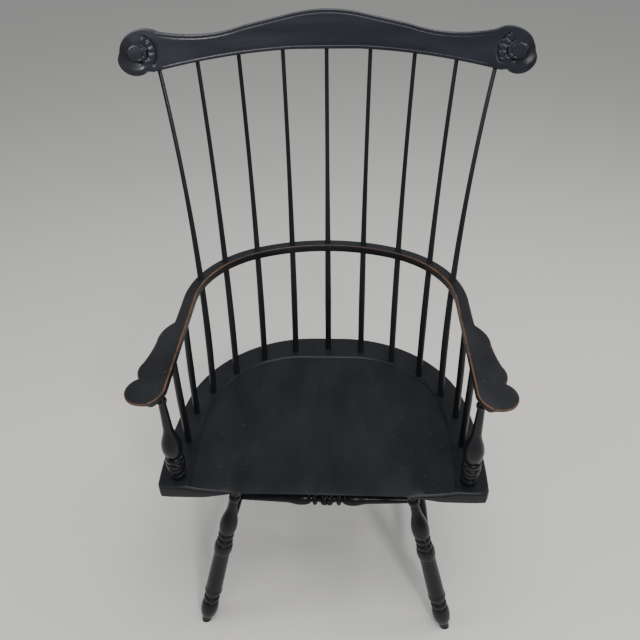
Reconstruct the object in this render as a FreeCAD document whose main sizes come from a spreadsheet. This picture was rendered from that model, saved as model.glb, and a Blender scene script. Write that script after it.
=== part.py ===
# Comb-back Windsor armchair: saddled plank seat, turned legs, bent arm rail, whittled
# spindles and a bent, carved crest. Millimetres. The origin is on the floor under the
# middle of the chair, +Z is up and the chair faces -Y. Left and right are as seen from
# the front, so left is -X.
import FreeCAD
import Part
import math
import os
import Sketcher
from FreeCAD import Placement, Rotation, Vector

os.makedirs("parts", exist_ok=True)
doc = FreeCAD.newDocument("comb_back_armchair")
sheet = doc.addObject("Spreadsheet::Sheet", "sizes")

# Driving dimensions, each written once.
# Depths called setback run from the front edge of the seat towards the back.
size = {
    # where the chair stands
    "seat_front": -251.0,          # Y of the front edge of the seat
    # seat plank
    "seat_height": 441.7,          # floor to the deck at the front edge
    "seat_slope": 1.78,            # degrees that the deck falls towards the back
    "seat_thick": 44.0,
    "seat_edge": 25.0,             # height of the square edge above the bevel
    "seat_bevel": 27.0,            # how far the bevel runs in under the seat
    "seat_front_half": 300.0,      # half width at the front corners
    "seat_corner": 10.0,           # radius of the front corners
    "seat_side_half": 303.0,       # half width at the widest place
    "seat_side_setback": 113.0,
    "seat_back_setback": 463.0,
    "seat_back_flat": 32.0,        # half length of the straight stretch at the back
    "seat_quarter_offset": 40.3,   # side half width less the radius of the back corners
    "seat_quarter_rise": 48.6,     # from the centre of that radius back to its start
    "deck_round": 5.0,             # rounding of the top edge of the plank
    "front_edge": 11.0,            # height of the front edge where the front is thinned
    "front_bevel": 55.0,           # how far that thinning runs in under the seat
    "front_thin_half": 150.0,      # half width of the thinned stretch
    "front_thin_end": 215.0,       # half width where the thinning has run out
    # gutter line and saddle, inset from the outline of the plank
    "gutter_front_inset": 60.0,
    "gutter_side_inset": 56.0,
    "gutter_back_inset": 73.0,
    "gutter_back_flat": 54.0,
    "gutter_quarter_offset": 60.0,
    "gutter_quarter_rise": 23.8,
    "gutter_step": 1.5,
    "saddle_dish": 13.0,
    "saddle_fullness": 3.0,        # power by which the dish flattens towards its middle
    "saddle_round_setback": 140.0, # where the dish starts to rise to the back
    "saddle_roll": 1.5,            # extra depth where the front edge rolls over
    "saddle_roll_length": 20.0,
    "saddle_grid": 30.0,           # spacing of the points that shape the saddle
    "pommel_rise": 7.0,
    "pommel_half_width": 140.0,
    "pommel_length": 120.0,
    # long spindles
    "spindle_inset": 38.0,         # from the widest place of the seat to the socket circle
    "spindle_back_inset": 42.0,    # from the back of the seat to that circle
    "spindle_step": 16.5,          # degrees between sockets on the deck
    "spindle_bow_pitch": 76.5,     # pitch along the arm rail
    "spindle_foot_dia": 13.0,
    "spindle_belly_dia": 13.8,
    "spindle_bow_dia": 12.0,
    "spindle_waist_dia": 8.6,
    "spindle_top_dia": 7.4,
    "spindle_seat_tenon": 26.0,
    "spindle_crest_tenon": 18.0,
    "spindle_crest_entry": 9.0,    # from the front face of the crest
    # arm rail
    "arm_height": 677.5,           # floor to the top of the rail at the front edge of the seat
    "arm_slope": 1.2,              # degrees that the rail rises towards the back
    "rail_thick": 16.0,
    "rail_width": 22.0,
    "rail_back_setback": 452.0,    # inner face at the middle of the back
    "rail_back_radius": 350.0,     # inner face
    "rail_shoulder_radius": 180.0, # inner face
    "rail_half": 248.0,            # inner face of the straight arms
    "rail_nose": 27.0,             # how far the rail runs forward of the seat
    "rail_inner_start": 12.0,      # setback where the nose starts to round
    "rail_nose_crown": 14.8,       # how far forward the nose runs at its crown
    "rail_nose_inset": 8.0,        # from the inner face to that crown
    "nose_undercut": 9.0,
    # short spindles under the arms, front and rear
    "short_inset": 38.0,           # from the widest place of the seat
    "short_front_seat_setback": 118.0,
    "short_front_arm_setback": 104.0,
    "short_rear_seat_setback": 199.0,
    "short_rear_arm_setback": 207.0,
    "short_bow": 1.0,              # how far they bow outwards
    "short_foot_dia": 12.5,
    "short_belly_dia": 13.2,
    "short_top_dia": 11.0,
    "short_seat_tenon": 24.0,
    "short_arm_tenon": 11.0,
    # arm posts
    "post_inset": 34.0,            # from the front corners of the seat
    "post_seat_setback": 31.0,
    "post_arm_setback": 11.0,
    "post_trim": 2.0,              # turned past the deck and the arm, then cut off there
    "post_seat_tenon": 30.0,
    "post_arm_tenon": 11.0,
    "post_tenon_dia": 16.0,
    "post_arm_tenon_dia": 10.5,
    # crest
    "crest_height": 1072.0,        # floor to the middle of the lower edge
    "crest_setback": 499.0,        # front face there
    "crest_lean": 8.5,             # degrees from upright
    "crest_radius": 730.0,         # front face, seen from above
    "crest_foot_thick": 21.0,
    "crest_top_thick": 14.0,
    "crest_slab_low": 45.0,        # slab below and above the lower edge, before it is sawn
    "crest_slab_high": 90.0,
    "crest_slab_depth": 400.0,
    "crest_spindle_inner": 80.8,   # half distances between the spindles at the crest
    "crest_spindle_second": 161.1,
    "crest_spindle_third": 233.9,
    "crest_spindle_outer": 298.4,
    # legs
    "front_leg_half": 151.0,       # where the leg axes cross the deck
    "front_leg_setback": 80.0,
    "front_foot_half": 261.0,      # where they meet the floor
    "front_foot_setback": -3.0,
    "rear_leg_half": 143.0,
    "rear_leg_setback": 281.0,
    "rear_foot_half": 232.0,
    "rear_foot_setback": 462.0,
    "leg_shoulder_dia": 28.0,
    "leg_shoulder_drop": 10.0,     # how far below the seat the taper starts
    "leg_tenon_dia": 22.0,
    "leg_tenon_proud": 12.0,       # past the deck, before it is trimmed to the saddle
    "wedge_thick": 3.6,
    "wedge_depth": 30.0,
    # stretchers
    "front_joint_height": 153.0,
    "rear_joint_height": 133.0,
    "stretcher_tenon": 13.0,
    "stretcher_end_dia": 15.0,
    "stretcher_straight": 6.0,     # straight stretch outside the mortise
    "side_neck_dia": 23.0,
    "side_belly_dia": 31.0,
    "side_belly_length": 150.0,
    "medial_waist_dia": 27.0,
    # turning
    "bulb_share": 0.6,             # where a rounded stretch gets its extra rings
    # fits
    "fit": 0.15,                   # clearance all round a tenon
    "end_fit": 0.5,                # clearance past the end of a tenon
    "run_out_gap": 1.0,            # where the thinning of the front clears the bevel
    # tools
    "bore_run_out": 10.0,          # how far a bore starts outside its face
    "cutter_half": 700.0,          # half width and depth of the blocks that trim
    "cutter_depth": 100.0,
}

# Turned profiles from the floor or the seat upwards: name, rise from the last station,
# diameter, and whether the outline is straight up to the station or rounds over it.
leg_turning = (
    ("toe", 8.0, 18.5, "plain"),
    ("ankle", 9.0, 24.0, "plain"),
    ("ball", 20.0, 36.5, "round"),
    ("ball_top", 18.0, 29.0, "plain"),
    ("low_bead", 6.0, 33.0, "plain"),
    ("low_bead_top", 6.0, 29.0, "plain"),
    ("low_cove", 5.0, 28.0, "plain"),
    ("lip", 7.0, 35.0, "plain"),
    ("lip_crown", 8.0, 36.4, "plain"),
    ("shaft_foot", 13.0, 33.0, "plain"),
    ("shaft_top", 86.0, 34.0, "plain"),
    ("step", 5.0, 35.4, "plain"),
    ("step_top", 4.0, 32.5, "plain"),
    ("great_ring", 16.0, 36.6, "round"),
    ("pinch", 17.0, 26.5, "plain"),
    ("collar", 8.0, 31.5, "plain"),
    ("collar_top", 7.0, 27.0, "plain"),
    ("vase", 25.0, 34.6, "round"),
    ("vase_top", 29.0, 25.0, "plain"),
    ("throat", 20.0, 18.6, "plain"),
    ("neck", 15.0, 17.4, "plain"),
    ("high_bead", 6.0, 22.4, "plain"),
    ("high_bead_top", 6.0, 18.0, "plain"),
)
post_turning = (
    ("foot", 2.0, 23.0, "plain"),
    ("foot_bead", 5.0, 25.5, "plain"),
    ("foot_cove", 7.0, 21.5, "plain"),
    ("low_ring", 7.0, 28.5, "plain"),
    ("low_ring_top", 6.0, 24.0, "plain"),
    ("middle_ring", 7.0, 31.0, "plain"),
    ("middle_ring_top", 7.0, 24.5, "plain"),
    ("high_ring", 7.0, 29.5, "plain"),
    ("high_ring_top", 8.0, 19.5, "plain"),
    ("bulb_foot", 6.0, 24.0, "plain"),
    ("bulb", 19.0, 33.6, "round"),
    ("bulb_top", 27.0, 22.5, "plain"),
    ("throat", 30.0, 15.6, "plain"),
    ("shaft", 36.0, 13.6, "plain"),
    ("neck", 28.0, 12.2, "plain"),
    ("top_bead", 5.0, 16.5, "plain"),
    ("top_bead_end", 5.0, 12.5, "plain"),
)
# half of the middle stretcher, from its centre outwards
medial_turning = (
    ("heart", 6.0, 33.0, "plain"),
    ("heart_end", 9.0, 20.0, "plain"),
    ("ring_foot", 7.0, 17.0, "plain"),
    ("ring", 6.0, 32.5, "plain"),
    ("ring_end", 5.0, 18.0, "plain"),
    ("belly_foot", 5.0, 20.0, "plain"),
    ("belly", 24.0, 33.0, "round"),
    ("belly_end", 32.0, 23.0, "plain"),
)
for prefix, stations in (("leg", leg_turning), ("post", post_turning), ("medial", medial_turning)):
    for name, rise, diameter, kind in stations:
        size[prefix + "_" + name + "_rise"] = rise
        size[prefix + "_" + name + "_dia"] = diameter

# Outline of the right hand, from the step on the rail round to the nose: name, distance
# from the chair's middle plane, setback, and line or curve.
hand_outline = (
    ("step", 0.0, 181.0, "line"),
    ("rise", 284.5, 160.0, "via"),
    ("swell", 290.0, 128.0, "line"),
    ("waist", 293.0, 98.0, "via"),
    ("knuckle_foot", 299.0, 70.0, "line"),
    ("knuckle", 303.2, 52.0, "via"),
    ("notch", 297.0, 31.0, "line"),
    ("palm", 312.0, 4.0, "via"),
    ("tip", 296.0, -24.5, "line"),
    ("front", 284.0, -28.0, "via"),
)
size["hand_edge"] = 4.0            # height of the square edge above the undercut
size["hand_undercut"] = 11.0
for name, across, setback, kind in hand_outline:
    size["hand_" + name + "_half"] = across
    size["hand_" + name + "_setback"] = setback

# Outline of the right half of the crest, over the top from the middle and back along the
# lower edge: name, distance from the middle, height above the lower edge, line or curve.
crest_outline = (
    ("crown", 0.0, 66.5, "line"),
    ("crown_side", 32.0, 64.9, "via"),
    ("slope_start", 62.0, 60.2, "line"),
    ("slope_end", 150.0, 41.7, "line"),
    ("dip", 222.0, 28.8, "via"),
    ("ear_start", 296.0, 35.1, "line"),
    ("ear_top", 334.0, 36.4, "via"),
    ("ear_out", 355.0, 4.0, "line"),
    ("ear_low", 348.0, -29.9, "via"),
    ("ear_end", 320.0, -32.5, "line"),
    ("wing", 306.0, -30.8, "line"),
    ("belly", 176.0, -9.2, "via"),
    ("foot", 60.0, 0.0, "line"),
    ("foot_middle", 0.0, 0.0, "line"),
)
for name, across, height, kind in crest_outline:
    size["crest_" + name + "_half"] = across
    size["crest_" + name + "_up"] = height

for row, (name, value) in enumerate(size.items(), start=1):
    sheet.set("A%d" % row, name)
    sheet.set("B%d" % row, "%g" % value)
    sheet.setAlias("B%d" % row, name)
doc.recompute()


# Small helpers
def plane(body, role):
    for feature in body.Origin.OriginFeatures:
        if feature.Role == role:
            return feature


def new_body(name, place=None):
    body = doc.addObject("PartDesign::Body", name)
    if place:
        body.Placement = place
    return body


def new_sketch(body, name, role, lift=0.0):
    sketch = body.newObject("Sketcher::SketchObject", name)
    sketch.AttachmentSupport = [(plane(body, role), "")]
    sketch.MapMode = "FlatFace"
    sketch.AttachmentOffset = Placement(Vector(0, 0, lift), Rotation())
    return sketch


def trace(sketch, points):
    """Closed outline through points of (x, y, x expression, y expression, kind)."""
    count = len(points)
    corners = [i for i in range(count) if points[i][4] == "line"]
    edges, rules = [], []
    for number, start in enumerate(corners):
        end = corners[(number + 1) % len(corners)]
        middle = (start + 1) % count
        first, last = Vector(*points[start][:2], 0), Vector(*points[end][:2], 0)
        if middle == end:
            edge = sketch.addGeometry(Part.LineSegment(first, last))
            edges.append((edge, 1, 2))
        else:
            through = Vector(*points[middle][:2], 0)
            edge = sketch.addGeometry(Part.Arc(first, through, last))
            start_point = sketch.getPoint(edge, 1)
            forward = start_point.distanceToPoint(first) < start_point.distanceToPoint(last)
            edges.append((edge, 1, 2) if forward else (edge, 2, 1))
            radius = sketch.Geometry[edge].Radius
            words = radius_words(points[start], points[middle], points[end])
            rules.append((Sketcher.Constraint("Radius", edge, radius), words))
    for number, (edge, begin, finish) in enumerate(edges):
        following, its_begin, its_finish = edges[(number + 1) % len(edges)]
        rules.append((Sketcher.Constraint("Coincident", edge, finish, following, its_begin), None))
        rules += pinned(edge, begin, points[corners[number]])
    indices = sketch.addConstraint([rule for rule, words in rules])
    for index, (rule, words) in zip(indices, rules):
        if words:
            sketch.setExpression("Constraints[%d]" % index, words)
    return sketch


def radius_words(first, through, last):
    """Expression for the radius of the circle through three points."""
    sides = [
        "sqrt(((%s) - (%s)) ^ 2 + ((%s) - (%s)) ^ 2)" % (a[2], b[2], a[3], b[3])
        for a, b in ((first, through), (through, last), (last, first))
    ]
    area = "((%s) - (%s)) * ((%s) - (%s)) - ((%s) - (%s)) * ((%s) - (%s))" % (
        through[2], first[2], last[3], first[3], last[2], first[2], through[3], first[3]
    )
    return "%s * %s * %s / (2 * abs(%s))" % (sides[0], sides[1], sides[2], area)


def pinned(geometry, vertex, point):
    """Constraints that hold one vertex of a sketch at a place that two expressions give."""
    rules = []
    for kind, value, words in (("DistanceX", point[0], point[2]), ("DistanceY", point[1], point[3])):
        if abs(value) < 1e-9 and words == "0":
            axis = -2 if kind == "DistanceX" else -1
            rules.append((Sketcher.Constraint("PointOnObject", geometry, vertex, axis), None))
        else:
            rules.append((Sketcher.Constraint(kind, -1, 1, geometry, vertex, value), words))
    return rules


def new_ring(body, name, alias):
    """Circle about the origin of its sketch, its diameter bound to the sheet."""
    ring = new_sketch(body, name, "XY_Plane")
    circle = ring.addGeometry(Part.Circle(Vector(), Vector(0, 0, 1), size[alias] / 2))
    ring.addConstraint(Sketcher.Constraint("Coincident", circle, 3, -1, 1))
    index = ring.addConstraint(Sketcher.Constraint("Diameter", circle, size[alias]))
    ring.setExpression("Constraints[%d]" % index, "sizes." + alias)
    return ring, "Constraints[%d]" % index


def banded(body, rings):
    """Loft through rings with a straight band from each to the next."""
    loft = body.newObject("PartDesign::AdditiveLoft", body.Name + "_bands")
    loft.Profile = rings[0]
    loft.Sections = rings[1:]
    loft.Ruled = True
    return loft


def pad(body, sketch, words, down=False):
    feature = body.newObject("PartDesign::Pad", sketch.Name + "_pad")
    feature.Profile = sketch
    feature.setExpression("Length", words)
    feature.Reversed = down
    return feature


def along(start, end):
    """Placement that puts local Z along the line from start to end."""
    return Placement(start, Rotation(Vector(0, 0, 1), end - start))


def rod(name, start, end, words, radius):
    """Plain cylinder between two points, its radius bound to the sheet."""
    cylinder = doc.addObject("Part::Cylinder", name)
    cylinder.Radius = radius
    cylinder.setExpression("Radius", words)
    cylinder.Height = (end - start).Length
    cylinder.Placement = along(start, end)
    return cylinder


def cut(label, base, tools):
    """The piece named label: base with every tool taken out of it."""
    if len(tools) == 1:
        tool = tools[0]
    else:
        tool = doc.addObject("Part::MultiFuse", label + "_tools")
        tool.Shapes = tools
    result = doc.addObject("Part::Cut", label)
    result.Base = base
    result.Tool = tool
    return result


pieces = []


def keep(node, label):
    node.Label = label
    pieces.append(node)
    return node


# Frames of the seat, the arm rail and the crest
seat_place = Placement(
    Vector(0, size["seat_front"], size["seat_height"]),
    Rotation(Vector(1, 0, 0), -size["seat_slope"]),
)
rail_place = Placement(
    Vector(0, size["seat_front"], size["arm_height"]),
    Rotation(Vector(1, 0, 0), size["arm_slope"]),
)
crest_place = Placement(
    Vector(0, size["seat_front"] + size["crest_setback"], size["crest_height"]),
    Rotation(Vector(1, 0, 0), -size["crest_lean"]),
)


def on_deck(x, setback, lift=0.0):
    return seat_place.multVec(Vector(x, setback, lift))


def on_rail(x, setback, lift=0.0):
    return rail_place.multVec(Vector(x, setback, lift))


def crest_depth(x):
    """How far the bent front face of the crest comes forward at a half distance x."""
    return math.sqrt(size["crest_radius"] ** 2 - x * x) - size["crest_radius"]


# Centre line of the arm rail, half of it: back arc, shoulder arc, then the straight arm
rail_middle = size["rail_width"] / 2
rail_turn = math.asin(
    (size["rail_half"] - size["rail_shoulder_radius"])
    / (size["rail_back_radius"] - size["rail_shoulder_radius"])
)
back_centre_setback = size["rail_back_setback"] - size["rail_back_radius"]
radius_step = size["rail_back_radius"] - size["rail_shoulder_radius"]
shoulder_centre = (
    radius_step * math.sin(rail_turn),
    back_centre_setback + radius_step * math.cos(rail_turn),
)


def rail_point(distance, offset):
    """Point of the rail at a length along its centre line, offset from its inner face."""
    side = -1 if distance < 0 else 1
    back = size["rail_back_radius"] + rail_middle
    shoulder = size["rail_shoulder_radius"] + rail_middle
    turned = abs(distance) / back
    if turned <= rail_turn:
        reach = size["rail_back_radius"] + offset
        return side * reach * math.sin(turned), back_centre_setback + reach * math.cos(turned)
    turned = rail_turn + (abs(distance) - back * rail_turn) / shoulder
    reach = size["rail_shoulder_radius"] + offset
    return (
        side * (shoulder_centre[0] + reach * math.sin(turned)),
        shoulder_centre[1] + reach * math.cos(turned),
    )


# Routes of the long spindles: seat, rail and crest
class Route:
    """Circular arc through the three places that hold a long spindle."""

    def __init__(self, foot, waist, head):
        self.arc = Part.Arc(foot, waist, head)
        self.first, self.last = self.arc.FirstParameter, self.arc.LastParameter
        self.waist = self.arc.parameter(waist)
        self.radius = self.arc.toShape().Curve.Radius

    def at(self, parameter):
        point = self.arc.value(parameter)
        direction = Vector(*self.arc.tangent(parameter)[0])
        return point, direction.normalize()

    def spot(self, span, share, beyond=0.0):
        """Point and direction at a share of the lower or upper span, or past its end."""
        start, end = (self.first, self.waist) if span == "low" else (self.waist, self.last)
        return self.at(start + (end - start) * share + beyond / self.radius)


crest_halves = (
    0.0,
    size["crest_spindle_inner"],
    size["crest_spindle_second"],
    size["crest_spindle_third"],
    size["crest_spindle_outer"],
)


def crest_foot(x):
    """Height of the lower edge of the crest in its own frame."""
    start, end = size["crest_foot_half"], size["crest_wing_half"]
    first = Vector(start, size["crest_foot_up"], 0)
    through = Vector(size["crest_belly_half"], size["crest_belly_up"], 0)
    last = Vector(end, size["crest_wing_up"], 0)
    if abs(x) <= start:
        return size["crest_foot_up"]
    arc = Part.Arc(first, through, last)
    reach = size["cutter_half"]
    line = Part.LineSegment(Vector(abs(x), -reach, 0), Vector(abs(x), reach, 0))
    return arc.toShape().distToShape(line.toShape())[1][0][0].y


spindle_circle = size["seat_side_half"] - size["spindle_inset"]
circle_setback = size["seat_back_setback"] - size["spindle_back_inset"] - spindle_circle
routes = []
for place in range(-4, 5):
    side = -1 if place < 0 else 1
    turn = math.radians(place * size["spindle_step"])
    foot = on_deck(
        spindle_circle * math.sin(turn),
        circle_setback + spindle_circle * math.cos(turn),
    )
    waist = on_rail(
        *rail_point(place * size["spindle_bow_pitch"], rail_middle), -size["rail_thick"] / 2
    )
    across = side * crest_halves[abs(place)]
    head = crest_place.multVec(
        Vector(across, crest_depth(across) + size["spindle_crest_entry"], crest_foot(across))
    )
    routes.append(Route(foot, waist, head))


def whittled(label, route, stations):
    """Whittled rod along a route; a station is (span, share, beyond, alias)."""
    body = new_body(label)
    rings = []
    for index, (span, share, beyond, alias) in enumerate(stations):
        point, direction = route.spot(span, share, beyond)
        ring, rule = new_ring(body, "%s_ring_%d" % (label, index), alias)
        ring.AttachmentOffset = along(point, point + direction)
        rings.append(ring)
    banded(body, rings)
    return keep(body, label)


# Thick below the rail, drawn down to a thin head in the crest
long_stations = (
    ("low", 0.0, -size["spindle_seat_tenon"], "spindle_foot_dia"),
    ("low", 0.0, 0.0, "spindle_foot_dia"),
    ("low", 0.5, 0.0, "spindle_belly_dia"),
    ("up", 0.0, 0.0, "spindle_bow_dia"),
    ("up", 0.45, 0.0, "spindle_waist_dia"),
    ("up", 1.0, 0.0, "spindle_top_dia"),
    ("up", 1.0, size["spindle_crest_tenon"], "spindle_top_dia"),
)
for number, route in enumerate(routes, start=1):
    whittled("long_spindle_%d" % number, route, long_stations)


# Turned pieces: a station is (height, height in words, alias of the diameter)
def stations_of(prefix, table, height=0.0, words="0"):
    """Stations of a turning whose rises add up from a start height."""
    stations = []
    for name, rise, diameter, kind in table:
        height += rise
        words += " + sizes.%s_%s_rise" % (prefix, name)
        stations.append((height, words, "%s_%s_dia" % (prefix, name), kind))
    return stations


def fixed(height, alias, words=None):
    return (height, words or "%.4f" % height, alias, "plain")


def mirrored_stations(stations):
    return [(-height, "-(%s)" % words, alias, kind) for height, words, alias, kind in stations]


def crown_ring(body, name, crown, end):
    """Extra ring between the crown of a rounded stretch and one of its ends."""
    share = size["bulb_share"]
    fall = math.sqrt(1 - share ** 2)
    words = "(%s) + sizes.bulb_share * ((%s) - (%s))" % (crown[1], end[1], crown[1])
    height = crown[0] + share * (end[0] - crown[0])
    ring, rule = new_ring(body, name, crown[2])
    ring.setExpression(
        rule, "sizes.%s + (sizes.%s - sizes.%s) * sqrt(1 - sizes.bulb_share ^ 2)"
        % (end[2], crown[2], end[2])
    )
    ring.setDatum(int(rule[12:-1]), size[end[2]] + (size[crown[2]] - size[end[2]]) * fall)
    place_ring(ring, height, words)
    return ring


def place_ring(ring, height, words):
    ring.AttachmentOffset = Placement(Vector(0, 0, height), Rotation())
    ring.setExpression("AttachmentOffset.Base.z", words)


def turning(label, place, stations):
    """Piece turned on a lathe, with rings at its stations and over its rounded stretches."""
    body = new_body(label, place)
    rings = []
    for index, station in enumerate(stations):
        height, words, alias, kind = station
        name = "%s_ring_%d" % (label, index)
        if kind == "round":
            rings.append(crown_ring(body, name + "_below", station, stations[index - 1]))
        ring, rule = new_ring(body, name, alias)
        place_ring(ring, height, words)
        rings.append(ring)
        if kind == "round":
            rings.append(crown_ring(body, name + "_above", station, stations[index + 1]))
    banded(body, rings)
    return body


class Length:
    """A length together with the expression that gives it from the sheet."""

    def __init__(self, value, words):
        self.value, self.words = value, words

    def __add__(self, other):
        return Length(self.value + other.value, "(%s + %s)" % (self.words, other.words))

    def __sub__(self, other):
        return Length(self.value - other.value, "(%s - %s)" % (self.words, other.words))

    def scaled(self, factor, words):
        return Length(self.value * factor, "(%s * %s)" % (self.words, words))

    def leg_of(self, other):
        """The other short side of a triangle with self as its long side."""
        words = "sqrt(%s ^ 2 - %s ^ 2)" % (self.words, other.words)
        return Length(math.sqrt(self.value ** 2 - other.value ** 2), words)


def sized(alias):
    return Length(size[alias], "sizes." + alias)


def spot(across, setback, kind):
    return (across.value, setback.value, across.words, setback.words, kind)


def shield_back(prefix, side, back, inset):
    """Right half of the round back of a shield outline: side arc, corner radius, straight."""
    radius = side - sized(prefix + "_quarter_offset")
    centre_setback = back - radius
    radius = radius - inset
    flat, rise = sized(prefix + "_back_flat"), sized(prefix + "_quarter_rise")
    middle = radius.scaled(math.sqrt(0.5), "sqrt(0.5)")
    return [
        spot(side - inset, sized("seat_side_setback"), "via"),
        spot(flat + radius.leg_of(rise), centre_setback + rise, "line"),
        spot(flat + middle, centre_setback + middle, "via"),
        spot(flat, centre_setback + radius, "line"),
    ]


def loop(right):
    """Whole outline from its right half, which starts and ends next to the middle line."""
    left = [(-x, y, "-(%s)" % wx, wy, kind) for x, y, wx, wy, kind in reversed(right) if x > 1e-9]
    return right + left


def block(name, place, low, high):
    """Plain box from a low to a high corner in a given frame, used as a cutting tool."""
    box = doc.addObject("Part::Box", name)
    box.Length, box.Width, box.Height = (high[i] - low[i] for i in range(3))
    box.Placement = place * Placement(Vector(*low), Rotation())
    return box


# Seat plank
no_inset = Length(0.0, "0")


def plank_outline(inset):
    front, corner = sized("seat_front_half") - inset, sized("seat_corner")
    cut_in = corner.scaled(1 - math.sqrt(0.5), "(1 - sqrt(0.5))")
    return loop([
        spot(front - corner, inset, "line"),
        spot(front - cut_in, inset + cut_in, "via"),
        spot(front, inset + corner, "line"),
        *shield_back("seat", sized("seat_side_half"), sized("seat_back_setback"), inset),
    ])


plank = new_body("seat_blank", seat_place)
deck = new_sketch(plank, "deck_outline", "XY_Plane")
trace(deck, plank_outline(no_inset))
pad(plank, deck, "sizes.seat_edge", down=True)
edge_foot = new_sketch(plank, "edge_foot", "XY_Plane", -size["seat_edge"])
trace(edge_foot, plank_outline(no_inset))
underside = new_sketch(plank, "underside", "XY_Plane", -size["seat_thick"])
trace(underside, plank_outline(sized("seat_bevel")))
bevel = plank.newObject("PartDesign::AdditiveLoft", "underside_bevel")
bevel.Profile = edge_foot
bevel.Sections = [underside]
bevel.Ruled = True
doc.recompute()
rounded = plank.newObject("PartDesign::Fillet", "deck_rounding")
deck_edges = [
    "Edge%d" % (number + 1)
    for number, edge in enumerate(bevel.Shape.Edges)
    if all(abs(vertex.Z) < 1e-6 for vertex in edge.Vertexes)
]
rounded.Base = (bevel, deck_edges)
rounded.setExpression("Radius", "sizes.deck_round")


gutter_side = sized("seat_side_half") - sized("gutter_side_inset")
gutter_back = sized("seat_back_setback") - sized("gutter_back_inset")


def saddle_depth(x, setback):
    """Depth of the carved saddle below the deck."""
    power = size["saddle_fullness"]
    length = gutter_back.value - size["saddle_round_setback"]
    past = max(setback - size["saddle_round_setback"], 0.0)
    dish = size["saddle_dish"] * (1 - abs(x / gutter_side.value) ** power - (past / length) ** power)
    nearness = max(1 - setback / size["saddle_roll_length"], 0.0)
    roll = size["saddle_roll"] * nearness ** 2
    pommel = size["pommel_rise"] * math.exp(
        -((x / size["pommel_half_width"]) ** 2) - max(setback, 0.0) / size["pommel_length"]
    )
    return size["gutter_step"] + dish + roll - pommel


step = size["saddle_grid"]
columns = math.ceil(gutter_side.value / step) + 1
rows = math.ceil(gutter_back.value / step) + 1
saddle_grid = [
    [Vector(column * step, row * step, -saddle_depth(column * step, row * step))
     for column in range(-columns, columns + 1)]
    for row in range(-1, rows + 1)
]
saddle_surface = Part.BSplineSurface()
saddle_surface.interpolate(saddle_grid)
saddle_bulk = doc.addObject("Part::Feature", "saddle_bulk")
saddle_bulk.Shape = saddle_surface.toShape().extrude(Vector(0, 0, size["cutter_depth"]))
saddle_bulk.Placement = seat_place
gutter = new_body("gutter_prism", seat_place)
gutter_line = new_sketch(gutter, "gutter_line", "XY_Plane", -size["seat_thick"])
run_out = Length(-size["bore_run_out"], "-sizes.bore_run_out")
trace(gutter_line, loop([
    spot(sized("seat_front_half") - sized("gutter_front_inset"), run_out, "line"),
    *shield_back("gutter", gutter_side, gutter_back, no_inset),
]))
pad(gutter, gutter_line, "2 * sizes.seat_thick")
saddle = doc.addObject("Part::Common", "saddle_cut")
saddle.Base = saddle_bulk
saddle.Tool = gutter
seat_tools = [saddle]


# The front is thinned from below between the corners, so that only a slim edge shows
hollow = new_body("front_hollow", seat_place)


def hollow_section(name, side, half, edge, reach, gap):
    """Triangle below a slope from the front edge to the underside, at one half width."""
    thick, past = sized("seat_thick"), sized("bore_run_out")
    slope = (thick - edge).value / reach.value
    rise = past.scaled(slope, "(%s / %s)" % ((thick - edge).words, reach.words))
    front, low = no_inset - past, no_inset - thick - gap - rise
    section = new_sketch(hollow, name, "YZ_Plane", side * size[half])
    section.setExpression("AttachmentOffset.Base.z", "%d * sizes.%s" % (side, half))
    return trace(section, [
        spot(front, low, "line"),
        spot(reach + past, low, "line"),
        spot(front, no_inset - edge - gap + rise, "line"),
    ])


hollow_sections = [
    hollow_section("hollow_%d" % number, side, *what)
    for number, (side, *what) in enumerate((
        (-1, "front_thin_end", sized("seat_edge"), sized("seat_bevel"), sized("run_out_gap")),
        (-1, "front_thin_half", sized("front_edge"), sized("front_bevel"), no_inset),
        (1, "front_thin_half", sized("front_edge"), sized("front_bevel"), no_inset),
        (1, "front_thin_end", sized("seat_edge"), sized("seat_bevel"), sized("run_out_gap")),
    ))
]
banded(hollow, hollow_sections)
seat_tools.append(hollow)
wide, deep = size["cutter_half"], size["cutter_depth"]
floor_block = block("below_floor", Placement(), (-wide, -wide, -deep), (wide, wide, 0))


# Turned legs
leg_lines = {}
leg_blanks = {}
for end in ("front", "rear"):
    for side, word in ((-1, "left"), (1, "right")):
        label = "leg_%s_%s" % (end, word)
        top = on_deck(side * size[end + "_leg_half"], size[end + "_leg_setback"])
        foot = Vector(
            side * size[end + "_foot_half"], size["seat_front"] + size[end + "_foot_setback"], 0
        )
        axis = (top - foot).normalize()
        leg_lines[end, side] = (foot, axis)
        place = along(foot - axis * size["leg_toe_rise"], top)
        deck_rise = (top - foot).Length + size["leg_toe_rise"]
        shoulder = deck_rise - size["seat_thick"] / axis.z - size["leg_shoulder_drop"]
        head = deck_rise + size["leg_tenon_proud"]
        body = turning(label + "_blank", place, [
            fixed(0.0, "leg_toe_dia"),
            *stations_of("leg", leg_turning),
            fixed(shoulder, "leg_shoulder_dia"),
            fixed(head, "leg_tenon_dia"),
        ])
        leg_blanks[end, side] = (label, body, place, shoulder, head)
        socket = doc.addObject("Part::Cone", label + "_socket")
        socket.setExpression("Radius1", "sizes.leg_shoulder_dia / 2 + sizes.fit")
        socket.setExpression("Radius2", "sizes.leg_tenon_dia / 2 + sizes.fit")
        socket.Height = head - shoulder
        socket.Placement = place * Placement(Vector(0, 0, shoulder), Rotation())
        seat_tools.append(socket)

# Stretchers: one along each side, mortised into the legs, and one across between them
joint_gap = size["stretcher_tenon"]
mortise_run = joint_gap + 2 * size["bore_run_out"]
stretcher_radius = "sizes.stretcher_end_dia / 2 + sizes.fit"
leg_mortises = {key: [] for key in leg_blanks}


def leg_point(end, side, height):
    foot, axis = leg_lines[end, side]
    return foot + axis * (height / axis.z)


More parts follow.
